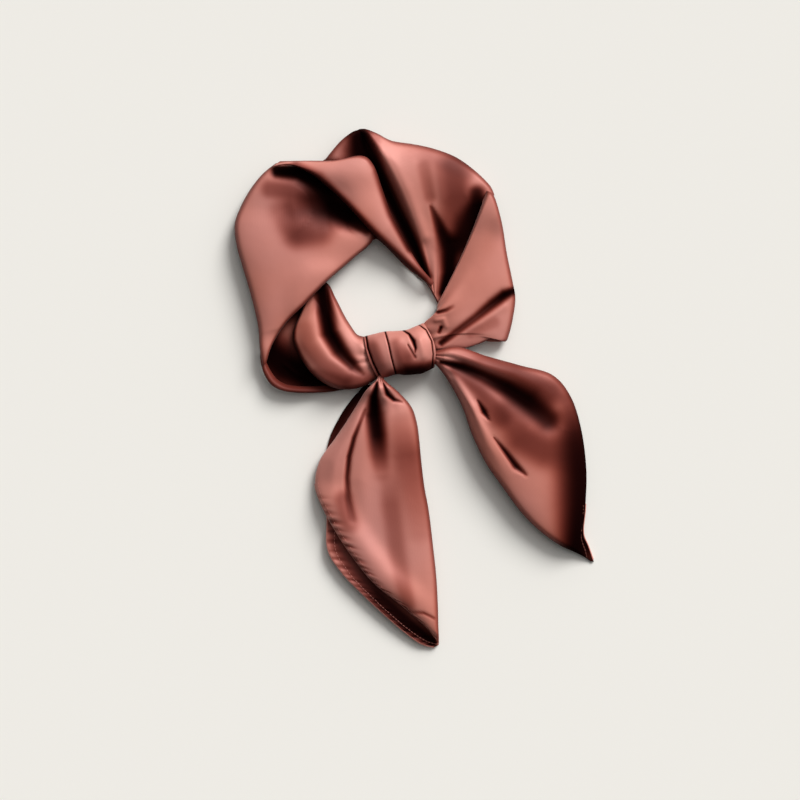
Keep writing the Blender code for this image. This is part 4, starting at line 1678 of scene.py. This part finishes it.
def layers() -> list[Layer]:
    """Lists the layers from the bottom up.

    Returns:
        The layers, with their tables and edges.
    """
    return [
        Layer(
            "under_layer_satin", "loop_under_layer", UNDER_LAYER, UNDER_LAYER_MARKS,
            start_edge=Edge.HIDDEN, end_edge=Edge.HIDDEN, held="laid",
        ),
        Layer(
            "left_tail_under_leaf_satin", "left_tail_under_leaf", UNDER_LEAF, UNDER_LEAF_MARKS,
            start_edge=Edge.HEMMED, end_edge=Edge.HIDDEN, held="laid", puckers=0.25, pucker_depth=0.25,
        ),
        Layer(
            "turned_rim_satin", "turned_rim", TURNED_RIM, TURNED_RIM_MARKS,
            rests_on=("loop_under_layer",), edge_shade=0.12, closes=(0.1, 0.1),
        ),
        Layer(
            "inner_fold_satin", "inner_fold", INNER_FOLD, INNER_FOLD_MARKS,
            rests_on=("loop_under_layer",), gathers=Gathers(5, 0.7, 0.2),
            knotted=Knotted.FIRST_SECTION, closes=(0.0, 0.1),
        ),
        Layer(
            "left_fold_satin", "left_fold", LEFT_FOLD, LEFT_FOLD_MARKS,
            rests_on=("inner_fold", "turned_rim"), lean=0.62, closes=(0.0, 0.045),
        ),
        Layer(
            "back_fold_satin", "back_fold", BACK_FOLD, BACK_FOLD_MARKS,
            start_edge=Edge.HIDDEN, rests_on=("loop_under_layer",), gathers=Gathers(7, 0.8, 0.18),
            lean=2.6, closes=(0.05, 0.0),
        ),
        Layer(
            "cross_fold_satin", "cross_fold", CROSS_FOLD, CROSS_FOLD_MARKS,
            rests_on=("left_fold", "back_fold"), closes=(0.08, 0.0),
        ),
        Layer(
            "right_fold_satin", "right_fold", RIGHT_FOLD, RIGHT_FOLD_MARKS,
            start_edge=Edge.HIDDEN, rests_on=("back_fold",), gathers=Gathers(5, 0.9, 0.22),
            lean=0.5, closes=(0.05, 0.0),
        ),
        Layer(
            "left_tail_satin", "left_tail", LEFT_TAIL, LEFT_TAIL_MARKS,
            start_edge=Edge.HEMMED, held="laid", rests_on=("left_tail_under_leaf",),
            gathers=Gathers(4, 0.9, 0.12), knotted=Knotted.FIRST_SECTION,
            puckers=1.1, puckers_from=0.52, lean=0.65,
        ),
        Layer(
            "right_tail_satin", "right_tail", RIGHT_TAIL, RIGHT_TAIL_MARKS,
            held="laid", gathers=Gathers(4, 0.8, 0.14), knotted=Knotted.FIRST_SECTION, lean=0.6,
        ),
        Knot("knot_satin", "knot", KNOT_RINGS, KNOT_MARKS, held="gathered"),
    ]


HEMS = {
    "left_tail": Hem("left_tail_hem", first_row=0.5),
    "left_tail_under_leaf": Hem("under_leaf_hem", first_row=0.45),
    "right_tail": Hem("right_tail_hem", at_end=True, first_row=0.74, last_row=0.98),
}


def main() -> None:
    """Builds the scarf from its lowest layer up, then the studio."""
    logging.basicConfig(level=logging.INFO, format="%(message)s")
    cad_low, cad_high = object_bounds()
    plan = Plan(Vector(cad_low), Vector(cad_high))
    relief = Relief(plan)
    scarf = layers()
    for layer in scarf:
        layer.loft(plan)
        layer.lay(relief)
    around = softened(relief.heights, HOLLOW_SHADE.around_cells)
    satin = Satin().material()
    for layer in scarf:
        # Painted shade where the cloth lies in a hollow or under another layer.
        layer.deepen(relief, around)
        piece = layer.build(plan, satin)
        trims = HEMS[layer.node].build(layer, plan, satin) if layer.node in HEMS else []
        layer.declare(piece, trims)
    Studio().build(plan)


if __name__ == "__main__":
    main()
